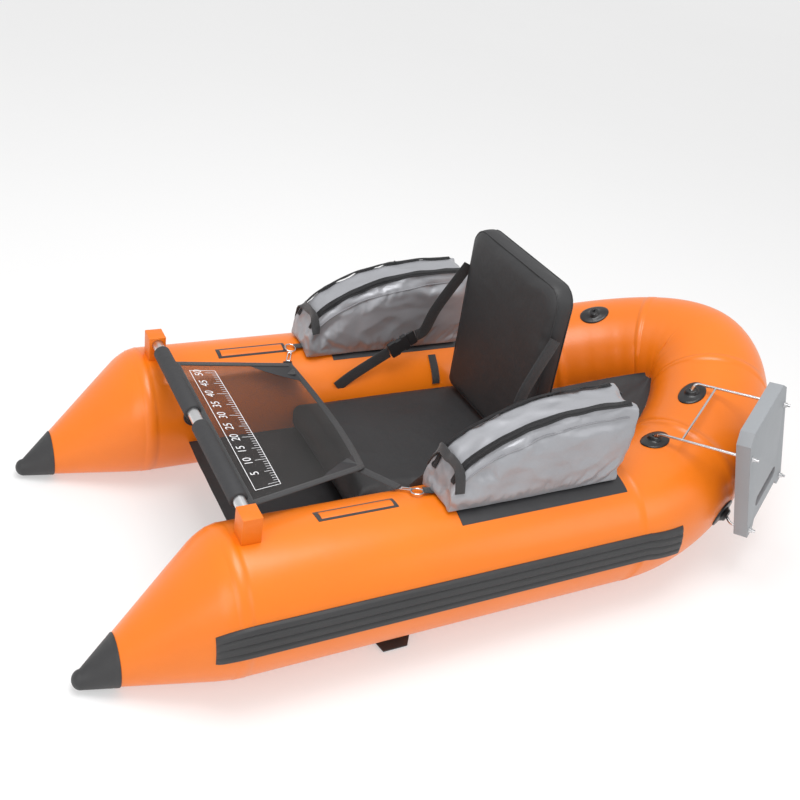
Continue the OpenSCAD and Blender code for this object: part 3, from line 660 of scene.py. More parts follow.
def strake_rings():
    rings = []
    ends = [STRAIGHT + 0.042, STRAIGHT + 0.037, STRAIGHT + 0.030]
    stations = ends + spaced(STRAIGHT + 0.02, STRAIGHT - 0.05, 8) + spaced(1.0, 0.0, 24) + [-a for a in spaced(1, 12, 11)]
    for s in stations:
        turn = max(0.0, -s) / 12
        a0, span = 66 + 4 * turn, 26 + 4 * turn
        fade = min(1.0, 0.25 + 110 * (STRAIGHT + 0.042 - s)) if s >= 0 else min(1.0, 0.25 + (12 + s) * 0.9)
        profile = [0.0008] + [0.0006 + rib(k / 48) * fade for k in range(49)] + [0.0008]
        rings += band_rings([s], a0, a0 + span, profile)
    return rings


for side, k in SIDES:
    made(side + "_rubber_cap", draw_out(flipped(cap_rings(), k)), "hull", RUBBER,
         (side + "_nose_cap",), 60)
    made(side + "_ribbed_strake", draw_out(flipped(strake_rings(), k)), "hull", RUBBER,
         (side + "_rub_strake",), 70)


# %% [markdown]
# ## Hard parts from the CAD
# A CAD part has the right shape but knife edges. A copy of its mesh is merged, its flat faces are
# joined again, and its hard edges get a small round, as moulding or deburring leaves.


# %% Rounded copies
def rounded(node, body, material, radius, angle=35, segments=3):
    bm = bmesh.new()
    bm.from_mesh(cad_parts[node].data)
    bmesh.ops.remove_doubles(bm, verts=bm.verts, dist=1e-6)
    bmesh.ops.dissolve_limit(bm, angle_limit=math.radians(1), verts=bm.verts, edges=bm.edges)
    hard = [e for e in bm.edges if len(e.link_faces) == 2 and e.calc_face_angle(0) > math.radians(angle)]
    bmesh.ops.bevel(bm, geom=hard, offset=radius, offset_type="OFFSET", affect="EDGES", segments=segments,
                    profile=0.5, material=-1, clamp_overlap=True)
    bmesh.ops.translate(bm, verts=bm.verts, vec=-SHIFT)
    return made(node + "_rounded", bm, body, material, (node,), 32)


for side, _ in SIDES:
    rounded(side + "_bar_socket", "hull", ORANGE_TRIM, 0.003)
    rounded(side + "_stay_buckle", "hull", BLACK_PLASTIC, 0.0016)
    rounded(side + "_buckle_latch", side + "_buckle_latch", BLACK_PLASTIC, 0.0012)
    rounded(side + "_valve", "hull", BLACK_PLASTIC, 0.0012)
    rounded(side + "_valve_cap", side + "_valve_cap", BLACK_PLASTIC, 0.0010)
    rounded(side + "_zip_sliders", "hull", BLACK_PLASTIC, 0.0005)
    rounded(side + "_snap_hook", "hull", STEEL, 0.0014)
    rounded(side + "_skeg", "hull", RUBBER, 0.0016)
    for pull in ("top", "pocket"):
        rounded("%s_%s_zip_pull" % (side, pull), "%s_%s_zip_pull" % (side, pull), BLACK_PLASTIC, 0.0004)
rounded("transom_plate", "hull", GREY_PLASTIC, 0.0055, segments=4)
rounded("plate_nuts", "hull", STEEL, 0.0006)
rounded("seat_valve", "hull", BLACK_PLASTIC, 0.0012)
rounded("backrest_valve", "backrest", BLACK_PLASTIC, 0.0012)


# %% [markdown]
# ## The bar and its foam
# The foam sleeves are split lengths of closed cell foam with rounded ends, turned as a lathe would:
# the outline of one side is spun about the bar.

# %% Bar and foam
def spun(outline, centre, axis, steps=72):
    bm = bmesh.new()
    verts = [bm.verts.new(Vector(p)) for p in outline]
    edges = [bm.edges.new(pair) for pair in zip(verts, verts[1:] + verts[:1])]
    bmesh.ops.spin(bm, geom=verts + edges, cent=centre, axis=axis, angle=math.tau, steps=steps, use_merge=True)
    bmesh.ops.recalc_face_normals(bm, faces=bm.faces)
    return bm


def foam_outline(y0, y1):
    inner, outer, soft = 0.01410, 0.021, 0.0035
    corner = [(soft * (1 - math.sin(math.radians(t))), soft * (1 - math.cos(math.radians(t)))) for t in (0, 30, 60, 90)]
    line = [(y0, inner), (y1, inner)]
    line += [(y1 - drop, outer - down) for down, drop in corner]
    line += [(y0 + drop, outer - down) for down, drop in reversed(corner)]
    return [(BAR_X, y, BAR_Z + r) for y, r in line]


for side, k in SIDES:
    low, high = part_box(side + "_foam_sleeve")
    y0, y1 = low[1] - SHIFT[1], high[1] - SHIFT[1]
    made(side + "_foam_grip", spun(foam_outline(y0, y1), (BAR_X, 0, BAR_Z), (0, 1, 0)), "cross_bar", FOAM,
         (side + "_foam_sleeve",), 50)
rounded("cross_bar", "cross_bar", ALUMINIUM, 0.0004)
rounded("bar_end_plugs", "cross_bar", BLACK_PLASTIC, 0.0010)

# %% [markdown]
# ## Pads, rods and plate
# Each rubber pad is an oval that follows the tube, with a round boss moulded in its middle. It is
# drawn inwards ring by ring, from its thin glued edge up the boss and down into its socket.


# %% Pads
def pad_rings(s, a, long_way, round_way, boss, top):
    steps = ((1.0, 0.0002), (0.995, 0.0022), (0.97, 0.0034), (0.80, 0.0042), (0.60, 0.0050), (0.50, 0.0062))
    rings = []
    for share, height in steps:
        rings.append([near_on_tube(s, a, share * long_way * math.cos(t), share * round_way * math.sin(t), height)
                      for t in (math.tau * k / 64 for k in range(64))])
    for radius, height in ((1.15, 0.0072), (1.0, 0.0095), (0.86, top - 0.0015), (0.74, top), (0.36, top), (0.3, top - 0.001),
                           (0.25, top - 0.006)):
        rings.append([near_on_tube(s, a, boss * radius * math.cos(t), boss * radius * math.sin(t), height)
                      for t in (math.tau * k / 64 for k in range(64))])
    return rings


PAD_S, PAD_A = (-22.5, -48.0), (-13.0, -18.0)
LOW_S, LOW_A = (-29.0, -46.0), (96.0, 96.0)
for side, k in SIDES:
    for i, place in enumerate(("forward", "aft")):
        nodes = (side + "_upper_pads",) if i == 0 else ()
        made("%s_%s_pad" % (side, place), draw_out(flipped(pad_rings(PAD_S[i], PAD_A[i], 0.050, 0.036, 0.0175, 0.0150), k)),
             "hull", GLOSS_RUBBER, nodes, 60)
for i, place in enumerate(("forward", "aft")):
    made("port_low_%s_pad" % place, draw_out(pad_rings(LOW_S[i], LOW_A[i], 0.042, 0.032, 0.0175, 0.0160)), "hull",
         GLOSS_RUBBER, ("port_lower_pads",) if i == 0 else (), 60)

# %% [markdown]
# The rods are bent from one length each, so the bend is a fillet on the line that the rod follows.
# A point in the plate is given in the plate's own directions: along its top edge, inboard and up.

# %% Rods
PLATE_CORNER = Vector((-0.213, 0.557, 0.501))
PLATE_TURN, PLATE_LEAN, PLATE_ROLL = (math.radians(t) for t in (206.5, 12.2, 16.5))
PLATE_W, PLATE_H, PLATE_T, ROD_R = 0.262, 0.350, 0.037, 0.004
STUD_X = (0.014, PLATE_W - 0.014)
UPPER_Z, LOWER_Z = -0.075, -PLATE_H + 0.018


def on_plate(x, y, z):
    lean = Matrix.Rotation(-PLATE_LEAN, 3, "X") @ Matrix.Rotation(-PLATE_ROLL, 3, "Y")
    turn = Matrix.Rotation(PLATE_TURN, 3, "Z") @ lean
    return PLATE_CORNER + turn @ Vector((x, y, z))


def rod(name, points, radius, nodes=(), bend=0.028):
    return made(name, draw_out(rod_rings(filleted(points, bend), radius)), "hull", STEEL, nodes, 60)


for i, place in enumerate(("forward", "aft")):
    elbow = on_plate(STUD_X[i], PLATE_T + 0.206, UPPER_Z)
    foot = on_tube(PAD_S[i], PAD_A[i], 0.010)
    rod("upper_%s_rod" % place, [on_plate(STUD_X[i], -0.016, UPPER_Z), elbow, foot], ROD_R,
        ("upper_rod_frame",) if i == 0 else ())
    sleeve = [foot.lerp(elbow, t) for t in (0.12, 0.2, 0.52, 0.6)]
    made("%s_copper_sleeve" % place, draw_out(rod_rings(sleeve, ROD_R + 0.0007)), "hull", COPPER, (), 60)
    bend = on_plate(STUD_X[i], PLATE_T + 0.015, LOWER_Z)
    rod("lower_%s_rod" % place, [on_plate(STUD_X[i], -0.016, LOWER_Z), bend, on_tube(LOW_S[i], LOW_A[i], 0.012)], ROD_R,
        ("lower_rods",) if i == 0 else (), 0.012)
cross_y = PLATE_T + 0.206 - 0.058
rod("cross_rod", [on_plate(STUD_X[0], cross_y, UPPER_Z), on_plate(PLATE_W / 2, cross_y, UPPER_Z),
                  on_plate(STUD_X[1], cross_y, UPPER_Z)], 0.003)


# %% [markdown]
# ## Straps
# A strap is a thin flat section drawn along a smooth line. It turns its flat face to the surface
# that it lies on. The backrest's stays cross its hinge: the lower part sits on the hull, and the upper
# part is left on no body, with its place baked into its mesh.

# %% Backrest stays
BACK_X, BACK_W = 0.197, 0.430
STAY_Y = BACK_W / 2 + 0.012
STAY_FOOT = Vector((0.522, OFFSET - 0.1464, 0.273))
BUCKLE = Vector((0.352, STAY_Y + 0.018, 0.374))
STAY_WAY = (Vector((BUCKLE[0], 0, BUCKLE[2])) - Vector((STAY_FOOT[0], 0, STAY_FOOT[2]))).normalized()
TAIL_X = 0.212
STAY_HEAD = Vector((BACK_X - 0.008, BACK_W / 2 + 0.002, SEAT_TOP + 0.385))


def strap(name, points, width, thick, faces_to, body="hull", nodes=(), k=1, steps=8, material=None):
    line = smooth_line(points, steps)
    return made(name, draw_out(flipped(strap_rings(line, width, thick, faces_to), k)), body,
                material or WEBBING, nodes, 50)


for side, k in SIDES:
    stay_low = BUCKLE - STAY_WAY * 0.034
    strap(side + "_stay_lower", [STAY_FOOT + Vector((0.012, 0.001, -0.012)), STAY_FOOT + Vector((-0.03, 0.0015, 0.02)),
                                 stay_low - STAY_WAY * 0.05, stay_low], 0.038, 0.0018, Vector((0, 1, 0)),
          nodes=(side + "_back_stay",), k=k)
    stay_high = BUCKLE + STAY_WAY * 0.0585
    upper = strap(side + "_stay_upper", [stay_high, stay_high + STAY_WAY * 0.03, Vector((BACK_X + 0.06, STAY_Y + 0.004, 0.5)),
                                         STAY_HEAD], 0.038, 0.0018, Vector((0, 1, 0)), body=None, k=k)
    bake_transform(upper)
    tail = [on_tube(TAIL_X, a, h) for a, h in ((-37, 0.0045), (-44, 0.0040), (-52, 0.0050), (-61, 0.0062), (-66, 0.004))]
    strap(side + "_strap_tail", tail, 0.025, 0.0018, [outward(TAIL_X, -50)] * 33, k=k,
          nodes=("strap_tails",) if k > 0 else ())


# %% [markdown]
# A carry handle is a length of webbing with its ends glued under a coloured cover. The base plate
# of a bag is a plain patch of black fabric, welded to the tube.

# %% Handles and base plates
def patch(name, k, stations, a0, a1, heights, material, nodes=()):
    return made(name, draw_out(flipped(band_rings(stations, a0, a1, heights), k)), "hull", material, nodes, 40)


def crowned(edge, middle, n):
    return [0.0005] + [edge + (middle - edge) * math.sin(math.pi * k / n) for k in range(n + 1)] + [0.0005]


for side, k in SIDES:
    patch(side + "_handle_webbing", k, spaced(0.852, 0.653, 20), -15.2, -1.8, crowned(0.0014, 0.0018, 8),
          WEBBING, (side + "_carry_handle",))
    patch(side + "_handle_cover", k, spaced(0.842, 0.663, 20), -13.4, -3.6, crowned(0.0022, 0.0042, 10),
          ORANGE_TRIM)
    patch(side + "_bag_patch", k, spaced(0.526, 0.042, 24), -31, 27, crowned(0.0014, 0.0016, 24),
          FLOOR_CLOTH, (side + "_bag_base",))


# %% [markdown]
# ## Padded pieces
# The seat and the backrest hold air, so each starts a little small, gets an even grid by a voxel
# remesh, and is blown up as cloth. No point may move further than a cap, which keeps the size.

# %% Blowing up a skin
def settled(piece):
    seen = bpy.context.evaluated_depsgraph_get()
    mesh = bpy.data.meshes.new_from_object(piece.evaluated_get(seen))
    piece.modifiers.clear()
    piece.data = mesh
    return piece


def blown_up(piece, pressure, cap, voxel, frames=16, growth=0.0, held=None):
    grid = piece.modifiers.new("grid", "REMESH")
    grid.mode = "VOXEL"
    grid.voxel_size = voxel
    settled(piece)
    piece.data.polygons.foreach_set("use_smooth", [True] * len(piece.data.polygons))
    start = [v.co.copy() for v in piece.data.vertices]
    if held:
        pins = piece.vertex_groups.new(name="held")
        pins.add([v.index for v in piece.data.vertices if held(v.co - SHIFT)], 1.0, "REPLACE")
    cloth = piece.modifiers.new("air", "CLOTH")
    skin = cloth.settings
    skin.quality = 5
    skin.mass = 0.3
    skin.tension_stiffness = 25
    skin.compression_stiffness = 25
    skin.bending_stiffness = 0.6
    skin.use_pressure = True
    skin.uniform_pressure_force = pressure
    skin.shrink_min = -growth
    skin.effector_weights.gravity = 0
    if held:
        skin.vertex_group_mass = "held"
    cloth.point_cache.frame_start = 1
    cloth.point_cache.frame_end = frames
    for step in range(1, frames + 1):
        bpy.context.scene.frame_set(step)
    settled(piece)
    for v, before in zip(piece.data.vertices, start):
        move = v.co - before
        if move.length > cap:
            v.co = before + move * (cap / move.length)
    bpy.context.scene.frame_set(1)
    return piece


def eased(piece, rounds, factor=0.5):
    bm = bmesh.new()
    bm.from_mesh(piece.data)
    for _ in range(rounds):
        bmesh.ops.smooth_vert(bm, verts=bm.verts, factor=factor, use_axis_x=True, use_axis_y=True, use_axis_z=True)
    bm.to_mesh(piece.data)
    bm.free()


# %% [markdown]
# The seat is a wedge between the two pontoons: a box whose sides slope as the tube does, with its
# long edges rounded before it is blown up.

# %% Seat
def seat_block():
    bm = bmesh.new()
    x0, x1, z0, z1 = 0.066, 0.684, 0.176, 0.243
    bmesh.ops.create_cube(bm, size=1.0)
    for v in bm.verts:
        top = v.co.z > 0
        half = 0.226 if top else 0.210
        v.co = Vector((x1 if v.co.x > 0 else x0, half if v.co.y > 0 else -half, z1 if top else z0))
    bmesh.ops.bevel(bm, geom=bm.edges[:], offset=0.022, offset_type="OFFSET", affect="EDGES", segments=5, profile=0.5,
                    material=-1)
    return bm


seat = made("seat_air_cushion", seat_block(), "hull", SEAT_CLOTH, ("seat_cushion",))
blown_up(seat, 3.0, 0.007, 0.0065)
eased(seat, 4)


# %% [markdown]
# The backrest is a panel with large round upper corners. Its front and back faces meet a side wall
# at a welded seam, which shows as a thin raised line all the way round.

# %% Backrest
BACK_H, BACK_T, BACK_LEAN = 0.520, 0.070, math.radians(1.5)


def on_back(depth, y, z):
    return Vector((BACK_X, 0, SEAT_TOP + 0.0003)) + Matrix.Rotation(BACK_LEAN, 3, "Y") @ Vector((-depth, y, z))


def back_outline(inset, steps=10):
    outline = []
    for y_sign, corner_r, turn in ((1, 0.022, -90), (1, 0.055, 0), (-1, 0.055, 90), (-1, 0.022, 180)):
        r = corner_r
        top = turn in (0, 90)
        cy = y_sign * (BACK_W / 2 - inset - r)
        cz = (BACK_H - inset - r) if top else inset + r
        for step in range(steps + 1):
            t = math.radians(turn + 90 * step / steps)
            outline.append((cy + r * math.cos(t), cz + r * math.sin(t)))
    return outline


def back_block(inset):
    levels = ((0.014, 0.006), (0.006, 0.009), (0.002, 0.013), (0.0, 0.020), (0.0, 0.050), (0.002, 0.057), (0.006, 0.061),
              (0.014, 0.064))
    return draw_out([[on_back(d, y, z) for y, z in back_outline(inset + extra)] for extra, d in levels])


back = made("backrest_air_panel", back_block(0.004), "backrest", SEAT_CLOTH, ("backrest",))
blown_up(back, 3.0, 0.006, 0.0065)
eased(back, 4)


def skin_tree(piece):
    return BVHTree.FromPolygons([v.co for v in piece.data.vertices], [p.vertices[:] for p in piece.data.polygons])


def laid(tree, points, lift, reach=0.08):
    line = []
    for p in points:
        hit, normal, _, _ = tree.find_nearest(Vector(p) + SHIFT, reach)
        if hit is not None:
            line.append((hit - SHIFT + normal * lift, normal))
    return line


def closed_rod(line, radius, sides=8):
    rings = rod_rings(line + line[:2], radius, sides)
    return draw_out(rings, capped=True)


back_skin = skin_tree(back)
for label, depth in (("front", 0.008), ("rear", 0.062)):
    seam = laid(back_skin, [on_back(depth, y, z) for y, z in back_outline(0.006, 16)], 0.0004)
    made("backrest_%s_welt" % label, closed_rod([p for p, _ in seam], 0.0019),
             "backrest", SEAT_CLOTH, (), 60)


# %% [markdown]
# ## Side bags
# A bag is sewn from a wide top, which falls in a curve to a low nose at the bow, and two sides. It
# is blown up a little with more cloth than its size needs, so that the nylon buckles into folds.

# %% Bag shells
BAG_X0, BAG_L, BAG_Y0, BAG_W = 0.057, 0.500, 0.300, 0.138
BAG_TOP, NOSE_Z, FLAT_X = 0.556, 0.392, 0.170
AHEAD = 0.055


def bag_height(x):
    t = max(0.0, (x - FLAT_X) / (BAG_X0 + BAG_L - FLAT_X))
    return NOSE_Z + (BAG_TOP - NOSE_Z) * max(0.0, 1 - t * t) ** 0.6


def bag_floor(y):
    return AXIS_H + math.sqrt((TUBE_R + 0.0042) ** 2 - (y - OFFSET) ** 2)


def bag_rings(inset):
    rings = []
    for i in range(41):
        x = BAG_X0 + inset + (BAG_L - 2 * inset) * (1 - (i / 40) ** 1.5)
        top = bag_height(x + (inset if i < 20 else 0)) - inset
        y0, y1 = BAG_Y0 + inset, BAG_Y0 + BAG_W - inset
        r = max(0.006, min(0.020, (top - NOSE_Z) / 2 + 0.004))
        arc = [(y0 + r * (1 - math.cos(t)), top - r * (1 - math.sin(t))) for t in (math.pi / 2 * j / 5 for j in range(6))]
        over = [(y0 + r + (y1 - y0 - 2 * r) * j / 8, top) for j in range(1, 8)]
        back_arc = [(y0 + y1 - y, z) for y, z in reversed(arc)]
        under = [(y1 + (y0 - y1) * j / 12, bag_floor(y1 + (y0 - y1) * j / 12) + 0.001) for j in range(13)]
        rings.append([Vector((x, y, z)) for y, z in arc + over + back_arc + under])
    return rings


def crumple(piece, depth, seed):
    bm = bmesh.new()
    bm.from_mesh(piece.data)
    bm.normal_update()
    for v in bm.verts:
        p = v.co - SHIFT
        height = min(1.0, max(0.0, (p.z - bag_floor(min(max(abs(p.y), BAG_Y0), BAG_Y0 + BAG_W))) / 0.02))
        way = Vector((p.x * 9, p.y * 22, p.z * 16)) + Vector((seed, seed * 2, seed * 3))
        fold = 1 - abs(noise.noise(way)) * 2.4
        small = noise.noise(way * 2.7)
        v.co += v.normal * depth * height * (fold * 0.8 + small * 0.45 - 0.35)
    bm.to_mesh(piece.data)
    bm.free()


bags = {}
for side, k in SIDES:
    shell = made(side + "_bag_shell", draw_out(flipped(bag_rings(0.004), k, AHEAD if k < 0 else 0)), "hull",
                 NYLON, (side + "_bag",))
    blown_up(shell, 1.6, 0.008, 0.0055, growth=0.05,
             held=lambda p: p.z < bag_floor(min(max(abs(p.y), 0.3), 0.438)) + 0.012)
    crumple(shell, 0.0045, 3.7 if k > 0 else 9.1)
    eased(shell, 1, 0.4)
    subdivided = shell.modifiers.new("finer", "SUBSURF")
    subdivided.levels = subdivided.render_levels = 1
    bags[side] = skin_tree(shell)
    print(side, "bag has", len(shell.data.vertices), "points before its subdivision")


# %% [markdown]
# Zips, seams and straps are laid on the finished shell: a line of points above it is dropped onto
# the cloth, and the section is then set square to the cloth at each point.

# %% Things sewn on a bag
def dropped(tree, points, lift, k, direction=(0, 0, -1), spread=(0, 0, 0)):
    ahead = AHEAD if k < 0 else 0.0
    line, ups = [], []
    way = Vector((direction[0], k * direction[1], direction[2]))
    for p in points:
        p = Vector((p[0] + ahead, k * p[1], p[2])) + SHIFT
        rays = [tree.ray_cast(p + Vector(spread) * share, way) for share in (-1, -0.5, 0, 0.5, 1)]
        hits = [ray for ray in rays if ray[0] is not None]
        if hits:
            first = min(hits, key=lambda ray: ray[3])
            middle = rays[2] if rays[2][0] is not None else first
            line.append(p + way * min(first[3], middle[3]) - SHIFT)
            ups.append(middle[1])
    return eased_line(line, 2, lift, ups)


def eased_line(line, rounds, lift, ups):
    for _ in range(rounds):
        line = line[:1] + [(a + b * 2 + c) / 4 for a, b, c in zip(line, line[1:], line[2:])] + line[-1:]
        ups = ups[:1] + [(a + b * 2 + c).normalized() for a, b, c in zip(ups, ups[1:], ups[2:])] + ups[-1:]
    return [p + u * lift for p, u in zip(line, ups)], ups


def zip_rings(line, ups, tape):
    section = ((-tape, -0.001), (-tape, 0.0007), (-0.0042, 0.0011), (-0.0034, 0.0028), (-0.0012, 0.0036), (0.0012, 0.0036),
               (0.0034, 0.0028), (0.0042, 0.0011), (tape, 0.0007), (tape, -0.001))
    rings = []
    for p, up, way in zip(line, ups, headings(line)):
        across = up.cross(way).normalized()
        up = way.cross(across).normalized()
        rings.append([p + across * x + up * y for x, y in section])
    return rings


def bag_x(v):
    return BAG_X0 + BAG_L * v


def zip_finish():
    finish = Finish("zip tape", Roughness=0.5)
    uv = finish.add("UVMap", {"uv_map": "metres"})
    parts = finish.add("SeparateXYZ", Vector=uv.outputs[0])
    turn = arithmetic(finish.tree, "DIVIDE", parts.outputs[0], 0.0024)
    teeth = arithmetic(finish.tree, "SINE", arithmetic(finish.tree, "MULTIPLY", turn, math.tau))
    finish.to(mixed_colour(finish.tree, teeth, (0.008, 0.008, 0.009, 1), (0.05, 0.05, 0.054, 1)), "Base Color")
    bump = finish.add("Bump", Height=teeth, Strength=0.9, Distance=0.0008)
    finish.to(bump.outputs[0], "Normal")
    return finish.material


ZIP = zip_finish()
PIPING = cloth_finish("grey piping", (0.20, 0.20, 0.215), (0.42, 0.42, 0.44), 0.5, 0.0016, 0.5)

for side, k in SIDES:
    tree = bags[side]
    low = 0.975
    for label, y in (("top", BAG_Y0 + 0.026), ("pocket", BAG_Y0 + BAG_W - 0.026)):
        path = [(bag_x(v), y, 0.7) for v in spaced(low, 0.04, 44)]
        line, ups = dropped(tree, path, 0.0012, k, spread=(0, 0.010, 0))
        made("%s_%s_zip" % (side, label), draw_out(zip_rings(line, ups, 0.0095)), "hull", ZIP, (), 60)
    for label, y, way in (("inner", BAG_Y0 - 0.05, 1), ("outer", BAG_Y0 + BAG_W + 0.05, -1)):
        path = [(bag_x(v), y, bag_height(bag_x(v)) - 0.026) for v in spaced(0.93, 0.05, 40)]
        line, ups = dropped(tree, path, 0.0004, k, (0, way, 0))
        made("%s_%s_piping" % (side, label), draw_out(rod_rings(line, 0.0019, 10)), "hull", PIPING, (), 60)
    over_nose = [(bag_x(0.955), y, 0.7) for y in spaced(BAG_Y0 + 0.003, BAG_Y0 + BAG_W - 0.003, 22)]
    line, ups = dropped(tree, over_nose, 0.0024, k, (0, 0, -1), (0.010, 0, 0))
    made(side + "_nose_strap", draw_out(strap_rings(line, 0.024, 0.0018, ups)), "hull", WEBBING, (), 50)
    heights = spaced(BAG_TOP - 0.012, bag_floor(BAG_Y0 + 0.04) + 0.008, 20)
    down_stern = [(BAG_X0 - 0.05, BAG_Y0 + 0.038, z) for z in heights]
    line, ups = dropped(tree, down_stern, 0.0024, k, (1, 0, 0), (0, 0.010, 0))
    made(side + "_stern_strap", draw_out(strap_rings(line, 0.024, 0.0018, ups)), "hull", WEBBING, (), 50)
    hold = line[len(line) // 3]
    slide = [hold + ups[9] * 0.003 + Vector((0, 0, z)) for z in spaced(0.016, -0.016, 8)]
    grip = strap_rings(slide, 0.031, 0.006, ups[9])
    made(side + "_stern_slide", draw_out(grip), "hull", BLACK_PLASTIC, (), 50)


# %% [markdown]
# ## Sheets
# The floor is a sheet of coated fabric that is glued to both tubes and hangs a little between them.
# The apron is a net that the bar holds at the front and two straps pull tight at the back.

# %% Floor sheet
def floor_rings():
    rings = []
    for s in spaced(0.965, 0.0, 30) + [-a for a in spaced(2, 72, 35)]:
        edge = on_tube(s, -93, 0.0002)
        ring = []
        for j in range(41):
            u = -1 + j / 20
            ripple = 0.0022 * noise.noise(Vector((edge.x * 7, u * 3, 0.3))) * (1 - u ** 6)
            ring.append(Vector((edge.x, edge.y * u, edge.z - 0.007 * (1 - u ** 4) + ripple)))
        rings.append(ring)
    return rings


def flat_area(rings):
    total = 0.0
    for ring, after in zip(rings, rings[1:]):
        for a, b, c, d in zip(ring, ring[1:], after, after[1:]):
            total += ((b - a).cross(c - a).length + (d - b).cross(c - b).length) / 2
    return total


floor_points = floor_rings()
floor_sides = draw_out(floor_points, closed=False, capped=False)
floor = made("floor_panel", floor_sides, "hull", FLOOR_CLOTH, ("floor_sheet",), 60)
print("floor area", round(flat_area(floor_points), 3))

# %% [markdown]
# A place on the apron has two shares: one across, from starboard to port, and one back from the
# bar. The print on it is a plain rule in centimetres; figures come from the built-in font.

# %% Apron
APRON_FRONT = BAR_X - 0.021 - 0.0003
APRON_REAR, REAR_BOW = 0.668, 0.034
FRONT_Y, REAR_Y = (-0.266, 0.336), (-0.288, 0.206)
FRONT_Z, REAR_Z, SAG = BAR_Z - 0.003, 0.326, 0.030


def mix(a, b, t):
    return a + (b - a) * t


def on_apron(u, v, lift=0.0):
    low, high = mix(FRONT_Y[0], REAR_Y[0], v), mix(FRONT_Y[1], REAR_Y[1], v)
    sag = SAG * (1 - u * u) * math.sin(math.pi / 2 * v)
    ripple = 0.0025 * noise.noise(Vector((u * 2.1, v * 3.2, 4.4))) * (1 - u ** 4) * math.sin(math.pi * v)
    return Vector((mix(APRON_FRONT, APRON_REAR - REAR_BOW * (1 - u * u), v), mix(low, high, (u + 1) / 2),
                   mix(FRONT_Z, REAR_Z, v) - sag + ripple + lift))


def apron_part(name, us, vs, lift, material, nodes=()):
    rings = [[on_apron(u, v, lift) for u in us] for v in vs]
    return made(name, draw_out(rings, closed=False, capped=False), "hull", material, nodes, 60), rings


net, net_rings = apron_part("apron_net", spaced(-1, 1, 48), spaced(0, 1, 30), -0.0006, NET, ("apron_mesh",))

rim = [(u, 0.004) for u in spaced(-1, 1, 30)] + [(1, v) for v in spaced(0.02, 0.99, 22)]
rim += [(u, 1.0) for u in spaced(1, -1, 30)] + [(-1, v) for v in spaced(0.98, 0.02, 22)]
rim_line = [on_apron(u * 0.985, v, 0.0002) for u, v in rim]
made("apron_binding", draw_out(strap_rings(rim_line + rim_line[:1], 0.018, 0.0022, Vector((0, 0, 1)))),
     "hull",
     WEBBING, (), 50)


def corner_patch(name, k, reach_u, reach_v):
    rings = []
    for i in range(13):
        v = 1 - reach_v * (1 - i / 12)
        width = reach_u * (i / 12) ** 0.8
        rings.append([on_apron(k * (1 - width * j / 8), v, 0.0008) for j in range(9)])
    rings[0] = [p + Vector((0, 1e-5 * j, 0)) for j, p in enumerate(rings[0])]
    made(name, draw_out(rings, closed=False, capped=False), "hull", FLOOR_CLOTH, (), 60)


for side, k in SIDES:
    corner_patch(side + "_apron_patch", k, 0.30, 0.42)


# %% The rule on the apron
PRINT = WHITE_PRINT


def print_rule():
    bm = bmesh.new()
    span = FRONT_Y[1] - FRONT_Y[0]

    def place(across, back):
        return on_apron(0.86 - 2 * across / span, back / (APRON_FRONT - APRON_REAR), 0.0012)

    def bar(a0, a1, b0, b1, cuts=1):
        for c in range(cuts):
            ends = [mix(a0, a1, c / cuts), mix(a0, a1, (c + 1) / cuts)]
            corners = [(ends[0], b0), (ends[1], b0), (ends[1], b1), (ends[0], b1)]
            bm.faces.new([bm.verts.new(place(a, b)) for a, b in corners])

    bar(0.0, 0.52, 0.026, 0.0278, 26)
    bar(0.0, 0.52, 0.094, 0.0958, 26)
    bar(-0.0012, 0.0006, 0.026, 0.0958)
    bar(0.5194, 0.5212, 0.026, 0.0958)
    for cm in range(51):
        deep = 0.030 if cm % 10 == 0 else 0.022 if cm % 5 == 0 else 0.012
        bar(0.01 + cm / 100 - 0.0007, 0.01 + cm / 100 + 0.0007, 0.094 - deep, 0.094)
    return bm, place


rule, rule_place = print_rule()
made("apron_rule", rule, "hull", PRINT, (), 60)


def figure(text, across, back, height):
    curve = bpy.data.curves.new("figure " + text, "FONT")
    curve.body = text
    curve.size = height
    curve.align_x = "CENTER"
    shape = bpy.data.objects.new("figure", curve)
    bpy.context.collection.objects.link(shape)
    bpy.context.view_layer.update()
    flat = bpy.data.meshes.new_from_object(shape.evaluated_get(bpy.context.evaluated_depsgraph_get()))
    bpy.data.objects.remove(shape)
    bm = bmesh.new()
    bm.from_mesh(flat)
    bpy.data.meshes.remove(flat)
    bmesh.ops.triangulate(bm, faces=bm.faces)
    for v in bm.verts:
        v.co = rule_place(across + v.co.x, back - v.co.y)
    return bm


for number in range(5, 51, 5):
    made("rule_figure_%d" % number, figure(str(number), 0.01 + number / 100, 0.056, 0.030), "hull", PRINT,
         (), 60)


# %% [markdown]
# The apron's straps run from its rear corners to a wire link, which holds the ring at the bow end
# of each bag. The rings are left as steel wire, and get only their finish.

# %% Apron straps and rings
RING_AT = Vector((0.588, 0.345, 0))


def tube_top(y):
    return AXIS_H + math.sqrt(TUBE_R ** 2 - (y - OFFSET) ** 2)


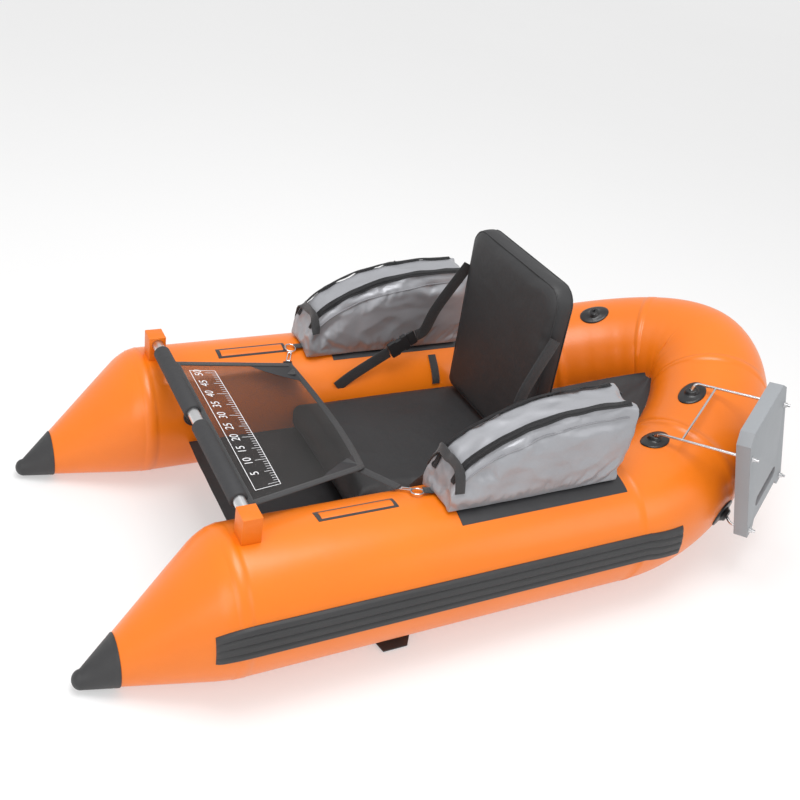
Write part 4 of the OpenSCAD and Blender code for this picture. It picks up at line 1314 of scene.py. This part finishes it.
for side, k in SIDES:
    ahead = AHEAD if k < 0 else 0.0
    link = Vector((RING_AT.x + 0.022 + ahead, RING_AT.y - 0.042, tube_top(RING_AT.y - 0.042) + 0.008))
    corner = on_apron(k, 1.0, -0.0045)
    corner.y *= k
    way = Vector((link.x - corner.x, link.y - corner.y, 0)).normalized()
    strap(side + "_apron_strap", [corner - way * 0.05 + Vector((0, 0, 0.0005)), corner - way * 0.014, corner + way * 0.016,
                                  link.lerp(corner, 0.05)], 0.024, 0.0018, Vector((0, 0, 1)), k=k,
          nodes=("apron_straps",) if k > 0 else ())
    rounded(side + "_bag_ring", "hull", STEEL, 0.0002, angle=60)
    ring_top = tube_top(RING_AT.y) + 0.012
    tab = [(0.512, 0.352, bag_floor(0.352) + 0.001), (0.545, 0.351, bag_floor(0.351) + 0.003),
           (0.568, 0.348, ring_top - 0.001), (0.5745, 0.346, ring_top)]
    strap(side + "_ring_tab", [(x + ahead, y, z) for x, y, z in tab], 0.022, 0.0018, Vector((0, 0, 1)), k=k)


# %% [markdown]
# ## Labels
# The care label is a white film with grey lines and no lettering. The maker's print is left out.

# %% Labels
def panel(name, k, stations, a0, a1, material, body="hull", nodes=()):
    made(name, draw_out(flipped(band_rings(stations, a0, a1, [0.0006] + [0.0011] * 12 + [0.0006]), k)), body,
         material, nodes, 40)


def lined_finish():
    finish = Finish("care label film", Roughness=0.4)
    uv = finish.add("UVMap", {"uv_map": "metres"})
    parts = finish.add("SeparateXYZ", Vector=uv.outputs[0])
    turn = arithmetic(finish.tree, "DIVIDE", parts.outputs[1], 0.0052)
    lines = arithmetic(finish.tree, "GREATER_THAN", arithmetic(finish.tree, "FRACT", turn), 0.62)
    where = finish.add("TexCoord").outputs["Object"]
    broken = finish.add("TexNoise", Vector=where, Scale=90.0, Detail=1.0)
    marks = arithmetic(finish.tree, "MULTIPLY", lines, arithmetic(finish.tree, "GREATER_THAN", broken.outputs[0], 0.42))
    finish.to(mixed_colour(finish.tree, marks, (0.80, 0.80, 0.81, 1), (0.38, 0.38, 0.40, 1)), "Base Color")
    return finish.material


panel("care_film", -1, [-a for a in spaced(13, 25, 12)], -72, -58, lined_finish(), nodes=("care_label",))
rounded("stern_baffle", "hull", FLOOR_CLOTH, 0.0001)


# %% [markdown]
# ## The floor of the studio
# A large pale plane stands just under the tubes. It isn't part of the boat.

# %% Studio floor
def studio_floor():
    bm = bmesh.new()
    bmesh.ops.create_grid(bm, x_segments=1, y_segments=1, size=30)
    bmesh.ops.translate(bm, verts=bm.verts, vec=(0, 0, -0.001))
    mesh = bpy.data.meshes.new("studio floor")
    bm.to_mesh(mesh)
    bm.free()
    ground = bpy.data.objects.new("studio_floor", mesh)
    bpy.context.collection.objects.link(ground)
    mesh.materials.append(skin_finish("pale floor", (0.55, 0.55, 0.55), (0.52, 0.52, 0.52), 0.8, 0.1,
                                      (200.0, 0.02, 3.0, 0.0), scale=0.4, Emission_Color=(1, 1, 1, 1),
                                      Emission_Strength=0.42))


studio_floor()
